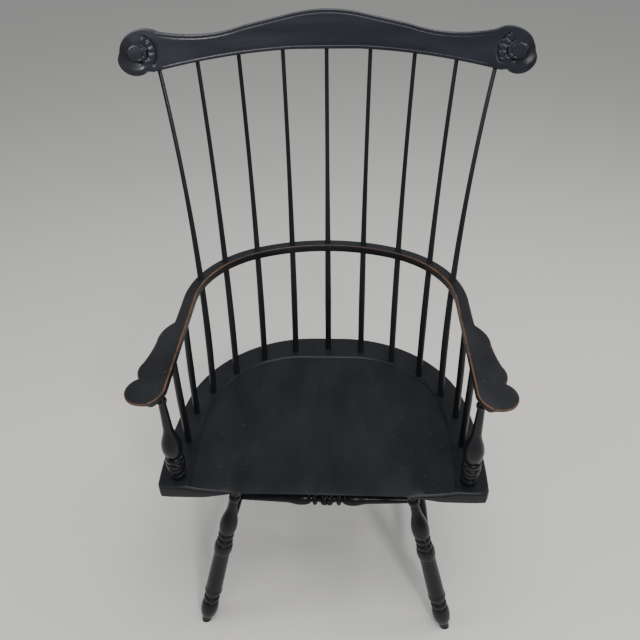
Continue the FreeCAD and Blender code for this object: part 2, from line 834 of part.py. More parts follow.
side_axes = {}
side_bodies = {}
for side, word in ((-1, "left"), (1, "right")):
    first = leg_point("front", side, size["front_joint_height"])
    last = leg_point("rear", side, size["rear_joint_height"])
    direction = (last - first).normalize()
    inset = size["leg_shaft_top_dia"] / 2 - joint_gap
    start, end_point = first + direction * inset, last - direction * inset
    length = (end_point - start).Length
    label = "side_stretcher_" + word
    near = (length - size["side_belly_length"]) / 2
    straight = size["stretcher_tenon"] + size["stretcher_straight"]
    body = turning(label + "_blank", along(start, end_point), [
        fixed(0.0, "stretcher_end_dia"),
        fixed(straight, "stretcher_end_dia"),
        fixed(near, "side_neck_dia"),
        (length / 2, "%.4f" % (length / 2), "side_belly_dia", "round"),
        fixed(length - near, "side_neck_dia"),
        fixed(length - straight, "stretcher_end_dia"),
        fixed(length, "stretcher_end_dia"),
    ])
    side_axes[side] = ((start + end_point) / 2, direction)
    side_bodies[side] = (label, body)
    reach = direction * (size["end_fit"])
    leg_mortises["front", side].append(
        rod(label + "_front_mortise", start - reach, start + direction * mortise_run, stretcher_radius, 5)
    )
    leg_mortises["rear", side].append(
        rod(label + "_rear_mortise", end_point + reach, end_point - direction * mortise_run,
            stretcher_radius, 5)
    )

left_middle, right_middle = side_axes[-1][0], side_axes[1][0]
tip_gap = size["side_belly_dia"] / 2 - joint_gap
half_span = (right_middle - left_middle).Length / 2 - tip_gap
centre = (left_middle + right_middle) / 2
half = [
    *stations_of("medial", medial_turning),
    fixed(half_span - straight, "stretcher_end_dia"),
    fixed(half_span, "stretcher_end_dia"),
]
medial = turning("medial_stretcher", along(centre, right_middle), [
    *reversed(mirrored_stations(half)), fixed(0.0, "medial_waist_dia", "0"), *half
])
keep(medial, "medial_stretcher")
for side in (-1, 1):
    label, body = side_bodies[side]
    middle = side_axes[side][0]
    inward = Vector(-side, 0, 0)
    mortise = rod(
        label + "_mortise", middle + inward * (tip_gap - size["end_fit"]),
        middle + inward * mortise_run, stretcher_radius, 5,
    )
    keep(cut(label + "_piece", body, [mortise]), label)

# Legs trimmed at the floor and the saddle, with a wedge driven into each tenon
wedges = []
for (end, side), (label, body, place, shoulder, head) in leg_blanks.items():
    trimmed = cut(label + "_trimmed", body, [floor_block, saddle] + leg_mortises[end, side])
    wedge_body = new_body(label + "_wedge_blank", place)
    wedge_profile = new_sketch(wedge_body, label + "_wedge_profile", "XZ_Plane")
    foot_of_wedge = head - size["leg_tenon_proud"] - size["wedge_depth"]
    trace(wedge_profile, [
        (0.0, foot_of_wedge, "0", "%.4f" % foot_of_wedge, "line"),
        (size["wedge_thick"] / 2, head + 1, "sizes.wedge_thick / 2", "%.4f" % (head + 1), "line"),
        (-size["wedge_thick"] / 2, head + 1, "-sizes.wedge_thick / 2", "%.4f" % (head + 1), "line"),
    ])
    wedge_pad = pad(wedge_body, wedge_profile, "2 * sizes.leg_tenon_dia")
    wedge_pad.Midplane = True
    keep(cut(label + "_piece", trimmed, [wedge_body]), label)
    wedge = doc.addObject("Part::Common", label + "_wedge")
    wedge.Base = trimmed
    wedge.Tool = wedge_body
    wedges.append(wedge)
wedge_group = doc.addObject("Part::Compound", "leg_wedges")
wedge_group.Links = wedges
keep(wedge_group, "leg_wedges")

# Arm rail, bent in one piece from hand to hand
rail = new_body("rail_blank", rail_place)
rail_line = new_sketch(rail, "rail_outline", "XY_Plane")
inner_half, outer_half = size["rail_half"], size["rail_half"] + size["rail_width"]
back_centre = Vector(0, back_centre_setback, 0)
corner_centre = Vector(*shoulder_centre, 0)
quarter = math.pi / 2


def arc_of(centre_point, radius, low, high):
    circle = Part.Circle(centre_point, Vector(0, 0, 1), radius)
    return rail_line.addGeometry(Part.ArcOfCircle(circle, low, high))


def line_of(first, last):
    return rail_line.addGeometry(Part.LineSegment(Vector(*first, 0), Vector(*last, 0)))


def hold(kind, *what):
    return rail_line.addConstraint(Sketcher.Constraint(kind, *what))


def bind(kind, words, *what):
    rail_line.setExpression("Constraints[%d]" % hold(kind, *what), words)


back_in = arc_of(back_centre, size["rail_back_radius"], quarter - rail_turn, quarter)
turn_in = arc_of(corner_centre, size["rail_shoulder_radius"], 0, quarter - rail_turn)
arm_in = line_of((inner_half, shoulder_centre[1]), (inner_half, size["rail_inner_start"]))
nose_start, nose_end = (inner_half, size["rail_inner_start"]), (outer_half, -size["rail_nose"])
nose_middle = (inner_half + size["rail_nose_inset"], -size["rail_nose_crown"])
nose = rail_line.addGeometry(Part.Arc(*[Vector(*p, 0) for p in (nose_start, nose_middle, nose_end)]))
arm_out = line_of((outer_half, -size["rail_nose"]), (outer_half, size["hand_step_setback"]))
arm_back = line_of((outer_half, size["hand_step_setback"]), (outer_half, shoulder_centre[1]))
turn_out = arc_of(
    corner_centre, size["rail_shoulder_radius"] + size["rail_width"], 0, quarter - rail_turn
)
back_out = arc_of(
    back_centre, size["rail_back_radius"] + size["rail_width"], quarter - rail_turn, quarter
)
middle_line = line_of(
    (0, back_centre_setback + size["rail_back_radius"] + size["rail_width"]),
    (0, back_centre_setback + size["rail_back_radius"]),
)
nose_begins = rail_line.Geometry[nose].StartPoint.x < (inner_half + outer_half) / 2
nose_low, nose_high = (1, 2) if nose_begins else (2, 1)
hold("Tangent", back_in, 1, turn_in, 2)
hold("Tangent", turn_in, 1, arm_in, 1)
hold("Coincident", arm_in, 2, nose, nose_low)
hold("Coincident", nose, nose_high, arm_out, 1)
hold("Coincident", arm_out, 2, arm_back, 1)
hold("Tangent", arm_back, 2, turn_out, 1)
hold("Tangent", turn_out, 2, back_out, 1)
hold("Coincident", back_out, 2, middle_line, 1)
hold("Coincident", middle_line, 2, back_in, 2)
hold("PointOnObject", back_in, 3, -2)
hold("PointOnObject", back_in, 2, -2)
hold("Vertical", arm_out)
hold("Vertical", middle_line)
hold("Coincident", back_out, 3, back_in, 3)
bind("Radius", "sizes.rail_back_radius", back_in, size["rail_back_radius"])
bind("Radius", "sizes.rail_shoulder_radius", turn_in, size["rail_shoulder_radius"])
bind("Radius", radius_words(
    spot(sized("rail_half"), sized("rail_inner_start"), "line"),
    spot(sized("rail_half") + sized("rail_nose_inset"), no_inset - sized("rail_nose_crown"), "via"),
    spot(sized("rail_half") + sized("rail_width"), no_inset - sized("rail_nose"), "line"),
), nose, rail_line.Geometry[nose].Radius)
bind("DistanceX", "sizes.rail_half", -1, 1, arm_in, 2, inner_half)
bind("DistanceY", "sizes.rail_inner_start", -1, 1, arm_in, 2, size["rail_inner_start"])
bind("DistanceX", "sizes.rail_half + sizes.rail_width", -1, 1, arm_out, 1, outer_half)
bind("DistanceY", "-sizes.rail_nose", -1, 1, arm_out, 1, -size["rail_nose"])
bind("DistanceY", "sizes.hand_step_setback", -1, 1, arm_out, 2, size["hand_step_setback"])
bind("DistanceY", "sizes.rail_back_setback", -1, 1, back_in, 2, size["rail_back_setback"])
bind("Radius", "sizes.rail_back_radius + sizes.rail_width", back_out,
     size["rail_back_radius"] + size["rail_width"])
rail_pad = pad(rail, rail_line, "sizes.rail_thick", down=True)
mirrored = rail.newObject("PartDesign::Mirrored", "rail_mirrored")
mirrored.Originals = [rail_pad]
mirrored.MirrorPlane = (plane(rail, "YZ_Plane"), [""])
rail.Tip = mirrored
doc.recompute()
undercut = rail.newObject("PartDesign::Chamfer", "nose_undercut")
undercut.Base = (mirrored, [
    "Edge%d" % (number + 1)
    for number, edge in enumerate(mirrored.Shape.Edges)
    if edge.Curve.TypeId == "Part::GeomCircle" and edge.BoundBox.YMax < size["rail_inner_start"] + 1
    and edge.BoundBox.ZMax < 1 - size["rail_thick"]
])
undercut.setExpression("Size", "sizes.nose_undercut")

# Hand pieces glued to the outer faces of the rail: a square edge over a deep undercut
rail_outer = sized("rail_half") + sized("rail_width")


def hand_points(side, inset):
    points = []
    for name, across, setback, kind in hand_outline:
        reach = rail_outer
        if name != "step":
            reach = sized("hand_%s_half" % name) - inset
        depth = sized("hand_%s_setback" % name)
        if setback < 0:
            depth = depth + inset
        points.append(spot(reach, depth, kind))
    points.append(spot(rail_outer, no_inset - sized("rail_nose") + inset, "line"))
    if side < 0:
        points = [(-x, y, "-(%s)" % wx, wy, kind) for x, y, wx, wy, kind in reversed(points)]
    return points


for side, word in ((-1, "left"), (1, "right")):
    hand = new_body("hand_" + word, rail_place)
    outline = new_sketch(hand, "hand_outline_" + word, "XY_Plane")
    trace(outline, hand_points(side, no_inset))
    pad(hand, outline, "sizes.hand_edge", down=True)
    edge_low = new_sketch(hand, "hand_edge_low_" + word, "XY_Plane", -size["hand_edge"])
    trace(edge_low, hand_points(side, no_inset))
    under = new_sketch(hand, "hand_under_" + word, "XY_Plane", -size["rail_thick"])
    trace(under, hand_points(side, sized("hand_undercut")))
    flare = hand.newObject("PartDesign::AdditiveLoft", "hand_flare_" + word)
    flare.Profile = edge_low
    flare.Sections = [under]
    flare.Ruled = True
    keep(hand, "hand_" + word)

# Short spindles and turned posts between the seat and the arms
rail_tools = []
past_face = size["bore_run_out"]
short_stations = (
    ("low", 0.0, -size["short_seat_tenon"], "short_foot_dia"),
    ("low", 0.0, 0.0, "short_foot_dia"),
    ("up", 0.0, 0.0, "short_belly_dia"),
    ("up", 1.0, 0.0, "short_top_dia"),
    ("up", 1.0, size["short_arm_tenon"], "short_top_dia"),
)
for side, word in ((-1, "left"), (1, "right")):
    for place in ("front", "rear"):
        label = "short_spindle_%s_%s" % (place, word)
        foot = on_deck(
            side * (size["seat_side_half"] - size["short_inset"]),
            size["short_%s_seat_setback" % place],
        )
        head = on_rail(
            side * (size["rail_half"] + rail_middle), size["short_%s_arm_setback" % place],
            -size["rail_thick"],
        )
        bowed = (foot + head) / 2 + Vector(side * size["short_bow"], 0, 0)
        route = Route(foot, bowed, head)
        whittled(label, route, short_stations)
        low, low_way = route.spot("low", 0.0, -size["short_seat_tenon"] - size["end_fit"])
        high, high_way = route.spot("up", 1.0, size["short_arm_tenon"] + size["end_fit"])
        seat_tools.append(rod(label + "_socket", low, foot + low_way * past_face,
                              "sizes.short_foot_dia / 2 + sizes.fit", 5))
        rail_tools.append(rod(label + "_arm_socket", head - high_way * past_face, high,
                              "sizes.short_top_dia / 2 + sizes.fit", 5))

    label = "arm_post_" + word
    foot = on_deck(
        side * (size["seat_front_half"] - size["post_inset"]), size["post_seat_setback"]
    )
    head = on_rail(
        side * (size["rail_half"] + rail_middle), size["post_arm_setback"], -size["rail_thick"]
    )
    axis = (head - foot).normalize()
    height = (head - foot).Length
    low, high = -size["post_seat_tenon"], height + size["post_arm_tenon"]
    body = turning(label + "_blank", along(foot, head), [
        fixed(low, "post_tenon_dia", "-sizes.post_seat_tenon"),
        fixed(-2 * size["post_trim"], "post_tenon_dia"),
        fixed(-size["post_trim"], "post_foot_dia"),
        *stations_of("post", post_turning),
        fixed(height + size["post_trim"], "post_top_bead_end_dia"),
        fixed(height + 2 * size["post_trim"], "post_arm_tenon_dia"),
        fixed(high, "post_arm_tenon_dia"),
    ])
    foot_socket = rod(label + "_socket", foot + axis * (low - size["end_fit"]),
                      foot + axis * past_face, "sizes.post_tenon_dia / 2 + sizes.fit", 5)
    arm_socket = rod(label + "_arm_socket", head - axis * past_face,
                     foot + axis * (high + size["end_fit"]),
                     "sizes.post_arm_tenon_dia / 2 + sizes.fit", 5)
    seat_tools.append(foot_socket)
    rail_tools.append(arm_socket)
    seat_slab = block(label + "_seat_slab", seat_place, (-wide, -deep, -deep), (wide, wide, 0))
    arm_slab = block(label + "_arm_slab", rail_place, (-wide, -deep, -size["rail_thick"]),
                     (wide, wide, deep))
    seat_trim = cut(label + "_seat_trim", seat_slab, [foot_socket])
    arm_trim = cut(label + "_arm_trim", arm_slab, [arm_socket])
    keep(cut(label + "_piece", body, [seat_trim, arm_trim]), label)

# Crest: a slab bent to a radius and thinned towards the top, sawn to its outline
slab = new_body(
    "crest_slab", crest_place * Placement(Vector(0, -size["crest_radius"], 0), Rotation())
)
section = new_sketch(slab, "crest_section", "YZ_Plane")
taper = (size["crest_top_thick"] - size["crest_foot_thick"]) / size["crest_crown_up"]
low_z, high_z = -size["crest_slab_low"], size["crest_slab_high"]
low_words, high_words = "(-sizes.crest_slab_low)", "sizes.crest_slab_high"
thick_words = (
    "sizes.crest_radius + sizes.crest_foot_thick + %s * "
    "(sizes.crest_top_thick - sizes.crest_foot_thick) / sizes.crest_crown_up"
)
trace(section, [
    (size["crest_radius"], low_z, "sizes.crest_radius", low_words, "line"),
    (size["crest_radius"] + size["crest_foot_thick"] + taper * low_z, low_z,
     thick_words % low_words, low_words, "line"),
    (size["crest_radius"] + size["crest_foot_thick"] + taper * high_z, high_z,
     thick_words % high_words, high_words, "line"),
    (size["crest_radius"], high_z, "sizes.crest_radius", high_words, "line"),
])
bent = slab.newObject("PartDesign::Revolution", "crest_bend")
bent.Profile = section
bent.ReferenceAxis = (section, ["V_Axis"])
bent.Angle = 80
bent.Midplane = True
blank = new_body("crest_blank", crest_place)
crest_line = new_sketch(blank, "crest_outline", "XZ_Plane")
crest_points = [
    (across, height, "sizes.crest_%s_half" % name, "sizes.crest_%s_up" % name, kind)
    for name, across, height, kind in crest_outline
]
crest_points[0] = (0.0, size["crest_crown_up"], "0", "sizes.crest_crown_up", "line")
crest_points[-1] = (0.0, size["crest_foot_middle_up"], "0", "sizes.crest_foot_middle_up", "line")
trace(crest_line, loop(crest_points))
crest_pad = pad(blank, crest_line, "sizes.crest_slab_depth")
crest_pad.Midplane = True
crest = doc.addObject("Part::Common", "crest_sawn")
crest.Base = slab
crest.Tool = blank

# Sockets of the long spindles in the seat, the rail and the crest
crest_tools = []
bore_half = size["rail_thick"] / 2 + past_face
for number, route in enumerate(routes, start=1):
    low, low_way = route.spot("low", 0.0, -size["spindle_seat_tenon"])
    foot, foot_way = route.spot("low", 0.0)
    waist, waist_way = route.spot("up", 0.0)
    head, head_way = route.spot("up", 1.0)
    top, top_way = route.spot("up", 1.0, size["spindle_crest_tenon"])
    name = "spindle_%d" % number
    seat_tools.append(rod(name + "_seat_socket", low - low_way * size["end_fit"],
                          foot + foot_way * past_face,
                          "sizes.spindle_foot_dia / 2 + sizes.fit", 5))
    rail_tools.append(rod(name + "_rail_bore", waist - waist_way * bore_half,
                          waist + waist_way * bore_half,
                          "sizes.spindle_bow_dia / 2 + 2 * sizes.fit", 5))
    crest_tools.append(rod(name + "_crest_socket", head - head_way * past_face,
                           top + top_way * size["end_fit"],
                           "sizes.spindle_top_dia / 2 + sizes.fit", 4))

keep(cut("seat_piece", plank, seat_tools), "seat")
keep(cut("rail_piece", rail, rail_tools), "arm_rail")
keep(cut("crest_piece", crest, crest_tools), "crest_rail")

doc.recompute()
for made in doc.Objects:
    if "Invalid" in made.State or "Error" in made.State:
        raise RuntimeError("%s did not build: %s" % (made.Name, made.State))
for node in pieces:
    if node.Shape.isNull() or not node.Shape.isValid() or not node.Shape.Solids:
        raise RuntimeError(node.Label + " has no sound shape")
for node in pieces:
    node.Shape.exportStep("parts/%s.step" % node.Label)
print(len(pieces), "pieces")
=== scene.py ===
import math

import bmesh
import bpy
from mathutils import Matrix, Vector


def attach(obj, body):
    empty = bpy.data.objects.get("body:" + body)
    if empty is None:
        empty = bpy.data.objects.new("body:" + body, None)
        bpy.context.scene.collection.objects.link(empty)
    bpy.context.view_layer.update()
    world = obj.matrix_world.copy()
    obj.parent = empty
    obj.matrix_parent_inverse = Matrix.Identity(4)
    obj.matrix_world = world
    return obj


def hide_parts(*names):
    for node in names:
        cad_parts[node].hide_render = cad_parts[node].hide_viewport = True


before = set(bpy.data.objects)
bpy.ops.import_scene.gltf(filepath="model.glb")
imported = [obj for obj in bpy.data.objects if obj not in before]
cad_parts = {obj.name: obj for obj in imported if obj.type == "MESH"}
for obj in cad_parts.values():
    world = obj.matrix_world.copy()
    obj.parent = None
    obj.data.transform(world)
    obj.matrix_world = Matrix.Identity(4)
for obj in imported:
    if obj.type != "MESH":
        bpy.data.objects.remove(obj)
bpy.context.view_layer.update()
scene = bpy.context.scene


# camera, fitted to the photograph's frame of 640 by 640

cameraSet = {
    "place": (0.0418, -0.9888, 1.3726),
    "turn": 2.963,      # degrees to the left
    "drop": 36.599,     # degrees below the horizon
    "roll": -1.206,
    "lens": 36.0,
}


def makeCamera():
    data = bpy.data.cameras.new("photoCamera")
    data.sensor_width = 36.0
    data.lens = cameraSet["lens"]
    data.clip_start = 0.05
    camera = bpy.data.objects.new("photoCamera", data)
    camera.matrix_world = (
        Matrix.Translation(cameraSet["place"])
        @ Matrix.Rotation(math.radians(cameraSet["turn"]), 4, "Z")
        @ Matrix.Rotation(math.radians(90 - cameraSet["drop"]), 4, "X")
        @ Matrix.Rotation(math.radians(cameraSet["roll"]), 4, "Z")
    )
    scene.collection.objects.link(camera)
    scene.camera = camera


# studio: pale floor, soft lamps

studioSet = {
    "floorColour": (0.76, 0.74, 0.70, 1.0),
    "floorHalf": 9.0,
    "worldColour": (0.80, 0.82, 0.85, 1.0),
    "worldStrength": 0.42,
}

lampSet = {
    "overhead": {"place": (0.2, -0.4, 2.9), "aim": (0.0, 0.0, 0.5), "size": 1.8, "power": 46.0},
    "front": {"place": (0.8, -2.1, 2.3), "aim": (0.0, 0.0, 0.5), "size": 0.36, "power": 24.0},
    "left": {"place": (-2.4, -0.6, 1.9), "aim": (0.0, 0.0, 0.6), "size": 1.0, "power": 14.0},
    "right": {"place": (2.4, 0.4, 1.9), "aim": (0.0, 0.0, 0.6), "size": 1.0, "power": 16.0},
}


def makeStudio():
    bm = bmesh.new()
    bmesh.ops.create_grid(bm, x_segments=1, y_segments=1, size=studioSet["floorHalf"])
    mesh = bpy.data.meshes.new("studioFloor")
    bm.to_mesh(mesh)
    bm.free()
    floor = bpy.data.objects.new("studioFloor", mesh)
    scene.collection.objects.link(floor)
    material = bpy.data.materials.new("paleFloor")
    material.use_nodes = True
    shader = material.node_tree.nodes["Principled BSDF"]
    shader.inputs["Base Color"].default_value = studioSet["floorColour"]
    shader.inputs["Roughness"].default_value = 0.85
    mesh.materials.append(material)
    world = bpy.data.worlds.new("studioWorld")
    world.use_nodes = True
    back = world.node_tree.nodes["Background"]
    back.inputs["Color"].default_value = studioSet["worldColour"]
    back.inputs["Strength"].default_value = studioSet["worldStrength"]
    scene.world = world
    for name, lamp in lampSet.items():
        data = bpy.data.lights.new(name, "AREA")
        data.shape = "DISK"
        data.size = lamp["size"]
        data.energy = lamp["power"]
        light = bpy.data.objects.new(name, data)
        light.location = lamp["place"]
        way = Vector(lamp["aim"]) - Vector(lamp["place"])
        light.rotation_euler = way.to_track_quat("-Z", "Y").to_euler()
        scene.collection.objects.link(light)


makeCamera()
makeStudio()
print("camera and studio ready")


# paints: one satin black, rubbed and dusted in a different way on each kind of piece, with painted shade
# darkening the seat's scribed line and the crest's carving

paintSet = {
    "turned": {
        "deep": (0.004, 0.0045, 0.006), "faded": (0.010, 0.011, 0.014),
        "rough": (0.20, 0.34), "bump": 0.08, "gloss": 0.24,
    },
    "spindle": {
        "deep": (0.004, 0.005, 0.006), "faded": (0.011, 0.012, 0.015),
        "rough": (0.28, 0.44), "bump": 0.10, "gloss": 0.32,
    },
    "seat": {
        "deep": (0.007, 0.0075, 0.009), "faded": (0.014, 0.015, 0.018),
        "rough": (0.36, 0.50), "bump": 0.07, "gloss": 0.26,
    },
    "arm": {
        "deep": (0.006, 0.0065, 0.008), "faded": (0.016, 0.017, 0.020),
        "rough": (0.34, 0.50), "bump": 0.12, "gloss": 0.34,
    },
    "crest": {
        "deep": (0.006, 0.0065, 0.011), "faded": (0.020, 0.022, 0.034),
        "rough": (0.20, 0.40), "bump": 0.20, "gloss": 0.50,
    },
    "mottleSize": 14.0,
    "fineSize": 230.0,
    "dustSize": 135.0,
    "wearSize": 48.0,
    "dust": (0.060, 0.060, 0.058),
    # painted shade: the colour laid into grooves and carved hollows in place of the shade that falls there
    "grooveShade": (0.003, 0.003, 0.004),
    "rubbedWood": (0.150, 0.070, 0.032),
}


class Paint:
    # a material in the making, with short ways to add and join its nodes

    def __init__(self, name):
        self.material = bpy.data.materials.new(name)
        self.material.use_nodes = True
        self.tree = self.material.node_tree
        self.shader = self.tree.nodes["Principled BSDF"]
        self.coords = self.add("ShaderNodeTexCoord")

    def add(self, kind, **values):
        node = self.tree.nodes.new(kind)
        for key, value in values.items():
            setattr(node, key, value)
        return node

    def join(self, source, target):
        self.tree.links.new(source, target)

    def noise(self, size, detail=4.0, stretch=(1, 1, 1)):
        place = self.add("ShaderNodeMapping")
        place.inputs["Scale"].default_value = stretch
        self.join(self.coords.outputs["Object"], place.inputs["Vector"])
        noise = self.add("ShaderNodeTexNoise")
        noise.inputs["Scale"].default_value = size
        noise.inputs["Detail"].default_value = detail
        noise.inputs["Roughness"].default_value = 0.55
        self.join(place.outputs["Vector"], noise.inputs["Vector"])
        return noise.outputs["Fac"]

    def ramp(self, source, low, high, start=0.0, end=1.0):
        ramp = self.add("ShaderNodeValToRGB")
        first, last = ramp.color_ramp.elements
        first.position, last.position = start, end
        first.color, last.color = (*low, 1), (*high, 1)
        self.join(source, ramp.inputs["Fac"])
        return ramp.outputs["Color"]

    def between(self, source, low, high, start=0.0, end=1.0):
        span = self.add("ShaderNodeMapRange")
        for name, value in (("From Min", start), ("From Max", end), ("To Min", low), ("To Max", high)):
            span.inputs[name].default_value = value
        self.join(source, span.inputs["Value"])
        return span.outputs["Result"]

    def over(self, share, base, top):
        mix = self.add("ShaderNodeMix", data_type="RGBA")
        for value, socket in ((share, mix.inputs[0]), (base, mix.inputs[6]), (top, mix.inputs[7])):
            if isinstance(value, tuple):
                socket.default_value = (*value, 1)
            else:
                self.join(value, socket)
        return mix.outputs[2]

    def times(self, first, second, operation="MULTIPLY"):
        node = self.add("ShaderNodeMath", operation=operation)
        for value, socket in ((first, node.inputs[0]), (second, node.inputs[1])):
            if isinstance(value, (int, float)):
                socket.default_value = value
            else:
                self.join(value, socket)
        return node.outputs[0]

    def relief(self, height, strength, distance=0.0006):
        bump = self.add("ShaderNodeBump")
        bump.inputs["Strength"].default_value = strength
        bump.inputs["Distance"].default_value = distance
        self.join(height, bump.inputs["Height"])
        self.join(bump.outputs["Normal"], self.shader.inputs["Normal"])


def satinPaint(name, look, stretch, edgeWear=False, specks=False, grooveShade=False):
    paint = Paint(name)
    mottle = paint.noise(paintSet["mottleSize"], 5.0, stretch)
    fine = paint.noise(paintSet["fineSize"], 3.0, stretch)
    colour = paint.ramp(mottle, look["deep"], look["faded"], 0.30, 0.72)
    rough = paint.between(mottle, *look["rough"], 0.30, 0.75)
    if specks:
        dust = paint.between(paint.noise(paintSet["dustSize"], 1.0), 0.0, 0.45, 0.745, 0.77)
        colour = paint.over(dust, colour, paintSet["dust"])
    # painted shade: darkens the colour where the sunk attribute marks grooves and carved hollows
    if grooveShade:
        sunk = paint.add("ShaderNodeAttribute", attribute_name="sunk")
        colour = paint.over(paint.times(sunk.outputs["Fac"], 0.6), colour, paintSet["grooveShade"])
    if edgeWear:
        worn = paint.add("ShaderNodeAttribute", attribute_name="worn")
        patches = paint.between(paint.noise(paintSet["wearSize"]), 0.35, 1.25, 0.34, 0.58)
        share = paint.times(paint.times(worn.outputs["Fac"], patches), 1.0, "MINIMUM")
        colour = paint.over(share, colour, paintSet["rubbedWood"])
    paint.join(colour, paint.shader.inputs["Base Color"])
    paint.join(rough, paint.shader.inputs["Roughness"])
    paint.shader.inputs["Specular IOR Level"].default_value = look["gloss"]
    paint.relief(paint.times(fine, mottle, "ADD"), look["bump"])
    return paint.material


# grain runs up the turned pieces and the spindles, from back to front in the seat and
# along the arms and the crest
turnedPaint = satinPaint("turnedPaint", paintSet["turned"], (1, 1, 0.35))
spindlePaint = satinPaint("spindlePaint", paintSet["spindle"], (1, 1, 0.12))
seatPaint = satinPaint("seatPaint", paintSet["seat"], (1, 0.4, 1), specks=True, grooveShade=True)
armPaint = satinPaint("armPaint", paintSet["arm"], (1, 0.5, 1), edgeWear=True, specks=True)
crestPaint = satinPaint("crestPaint", paintSet["crest"], (0.06, 1, 1.6), grooveShade=True)
print("paints mixed")


# frames of the seat, the rail and the crest: millimetres in, metres out

def leaning(place, degrees):
    shrink = Matrix.Scale(0.001, 4)
    return shrink @ Matrix.Translation(place) @ Matrix.Rotation(math.radians(degrees), 4, "X")


seatFrame = leaning((0, -251.0, 441.7), -1.78)
railFrame = leaning((0, -251.0, 677.5), 1.2)
crestFrame = leaning((0, 248.0, 1072.0), -8.5)


def onSeat(x, setback, lift=0.0):
    return seatFrame @ Vector((x, setback, lift))


def onRail(x, setback, lift=0.0):
    return railFrame @ Vector((x, setback, lift))


def alongLine(start, end):
    turn = Vector((0, 0, 1)).rotation_difference(end - start)
    return Matrix.Translation(start) @ turn.to_matrix().to_4x4() @ Matrix.Scale(0.001, 4)


bothSides = ((-1, "Left"), (1, "Right"))


# shared ways of making a piece

def newPiece(name, bm, material, nodes, crease=40):
    bmesh.ops.remove_doubles(bm, verts=bm.verts, dist=1e-6)
    bmesh.ops.recalc_face_normals(bm, faces=bm.faces)
    for face in bm.faces:
        face.smooth = True
    mesh = bpy.data.meshes.new(name)
    bm.to_mesh(mesh)
    bm.free()
    mesh.set_sharp_from_angle(angle=math.radians(crease))
    mesh.materials.append(material)
    piece = bpy.data.objects.new(name, mesh)
    scene.collection.objects.link(piece)
    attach(piece, "root")
    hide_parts(*nodes)


def growRing(bm, ring, places):
    # extrudes a closed ring of vertices and puts each new one in its place
    edges = [bm.edges.get(pair) for pair in zip(ring, ring[1:] + ring[:1])]
    made = bmesh.ops.extrude_edge_only(bm, edges=edges)["geom"]
    fresh = {item for item in made if isinstance(item, bmesh.types.BMVert)}
    grown = []
    for vertex, place in zip(ring, places):
        links = (edge.other_vert(vertex) for edge in vertex.link_edges)
        twin = next(other for other in links if other in fresh)
        twin.co = place
        grown.append(twin)
    return grown


def firstRing(bm, places):
    circle = bmesh.ops.create_circle(bm, cap_ends=False, radius=1, segments=len(places))["verts"]
    for vertex, place in zip(circle, places):
        vertex.co = place
    return list(circle)


def addSkin(bm, rings, attribute=None):
    # a skin over closed rings of places, each with its marks for the attribute or None
    layer = bm.verts.layers.float.new(attribute) if attribute else None
    ring = None
    for places, marks in rings:
        ring = growRing(bm, ring, places) if ring else firstRing(bm, places)
        if marks:
            for vertex, mark in zip(ring, marks):
                vertex[layer] = mark


def closeEnds(bm):
    rims = [edge for edge in bm.edges if edge.is_boundary]
    bmesh.ops.holes_fill(bm, edges=rims, sides=0)


def mixed(low, high, share):
    return low + (high - low) * share


def eased(value):
    value = min(max(value, 0.0), 1.0)
    return value * value * (3 - 2 * value)


def bump(value, width):
    return math.exp(-(value / width) ** 2)


def arcPoints(first, through, last, count):
    # points after the first on the circle through three flat points
    ax, ay = first[0] - last[0], first[1] - last[1]
    bx, by = through[0] - last[0], through[1] - last[1]
    cross = 2 * (ax * by - ay * bx)
    aa, bb = ax * ax + ay * ay, bx * bx + by * by
    cx, cy = last[0] + (by * aa - ay * bb) / cross, last[1] + (ax * bb - bx * aa) / cross
    radius = math.hypot(first[0] - cx, first[1] - cy)
    start, middle, end = (math.atan2(p[1] - cy, p[0] - cx) for p in (first, through, last))
    sweep = (end - start) % (2 * math.pi)
    if (middle - start) % (2 * math.pi) > sweep:
        sweep -= 2 * math.pi
    turns = [start + sweep * step / count for step in range(1, count + 1)]
    return [(cx + radius * math.cos(turn), cy + radius * math.sin(turn)) for turn in turns]


def traced(points, count=14):
    # open outline through (x, y, kind): straight, or an arc by way of a "via" point
    line = [points[0][:2]]
    index = 1
    while index < len(points):
        if points[index][2] == "via":
            line += arcPoints(points[index - 1], points[index], points[index + 1], count)
            index += 2
        else:
            line.append(points[index][:2])
            index += 1
    return line


# turning: a profile is (height, diameter, how the outline gets there)

turnSet = {"steps": 52, "roundRings": 7, "longRings": 12}


def profilePoints(stations):
    height, diameter = stations[0][:2]
    points = [(diameter / 2, height)]
    for nextHeight, nextDiameter, kind in stations[1:]:
        count = turnSet["longRings"] if kind in ("ogee", "dome", "slope") else turnSet["roundRings"]
        count = 2 if kind == "line" else count
        for step in range(1, count + 1):
            share = step / count
            turn = math.pi / 2 * share
            if kind == "crown":      # leaves steeply, arrives level
                along, rise = 1 - math.cos(turn), math.sin(turn)
            elif kind == "drop":     # leaves level, arrives steeply
                along, rise = math.sin(turn), 1 - math.cos(turn)
            elif kind == "ogee":
                along, rise = share, 0.5 - 0.5 * math.cos(2 * turn)
            elif kind == "dome":
                along, rise = share, math.sin(turn)
            elif kind == "slope":
                along, rise = share, 1 - math.cos(turn)
            else:
                along, rise = share, share
            points.append((mixed(diameter, nextDiameter, rise) / 2, mixed(height, nextHeight, along)))
        height, diameter = nextHeight, nextDiameter
    return points


def turnedMesh(stations, place):
    bm = bmesh.new()
    points = profilePoints(stations)
    points = [(0, points[0][1])] + points + [(0, points[-1][1])]
    line = [bm.verts.new((radius, 0, height)) for radius, height in points]
    edges = [bm.edges.new(pair) for pair in zip(line, line[1:])]
    bmesh.ops.spin(
        bm, geom=line + edges, cent=(0, 0, 0), axis=(0, 0, 1),
        angle=2 * math.pi, steps=turnSet["steps"], use_merge=True,
    )
    bmesh.ops.remove_doubles(bm, verts=bm.verts, dist=1e-4)
    bmesh.ops.transform(bm, matrix=place, verts=bm.verts)
    return bm


# legs

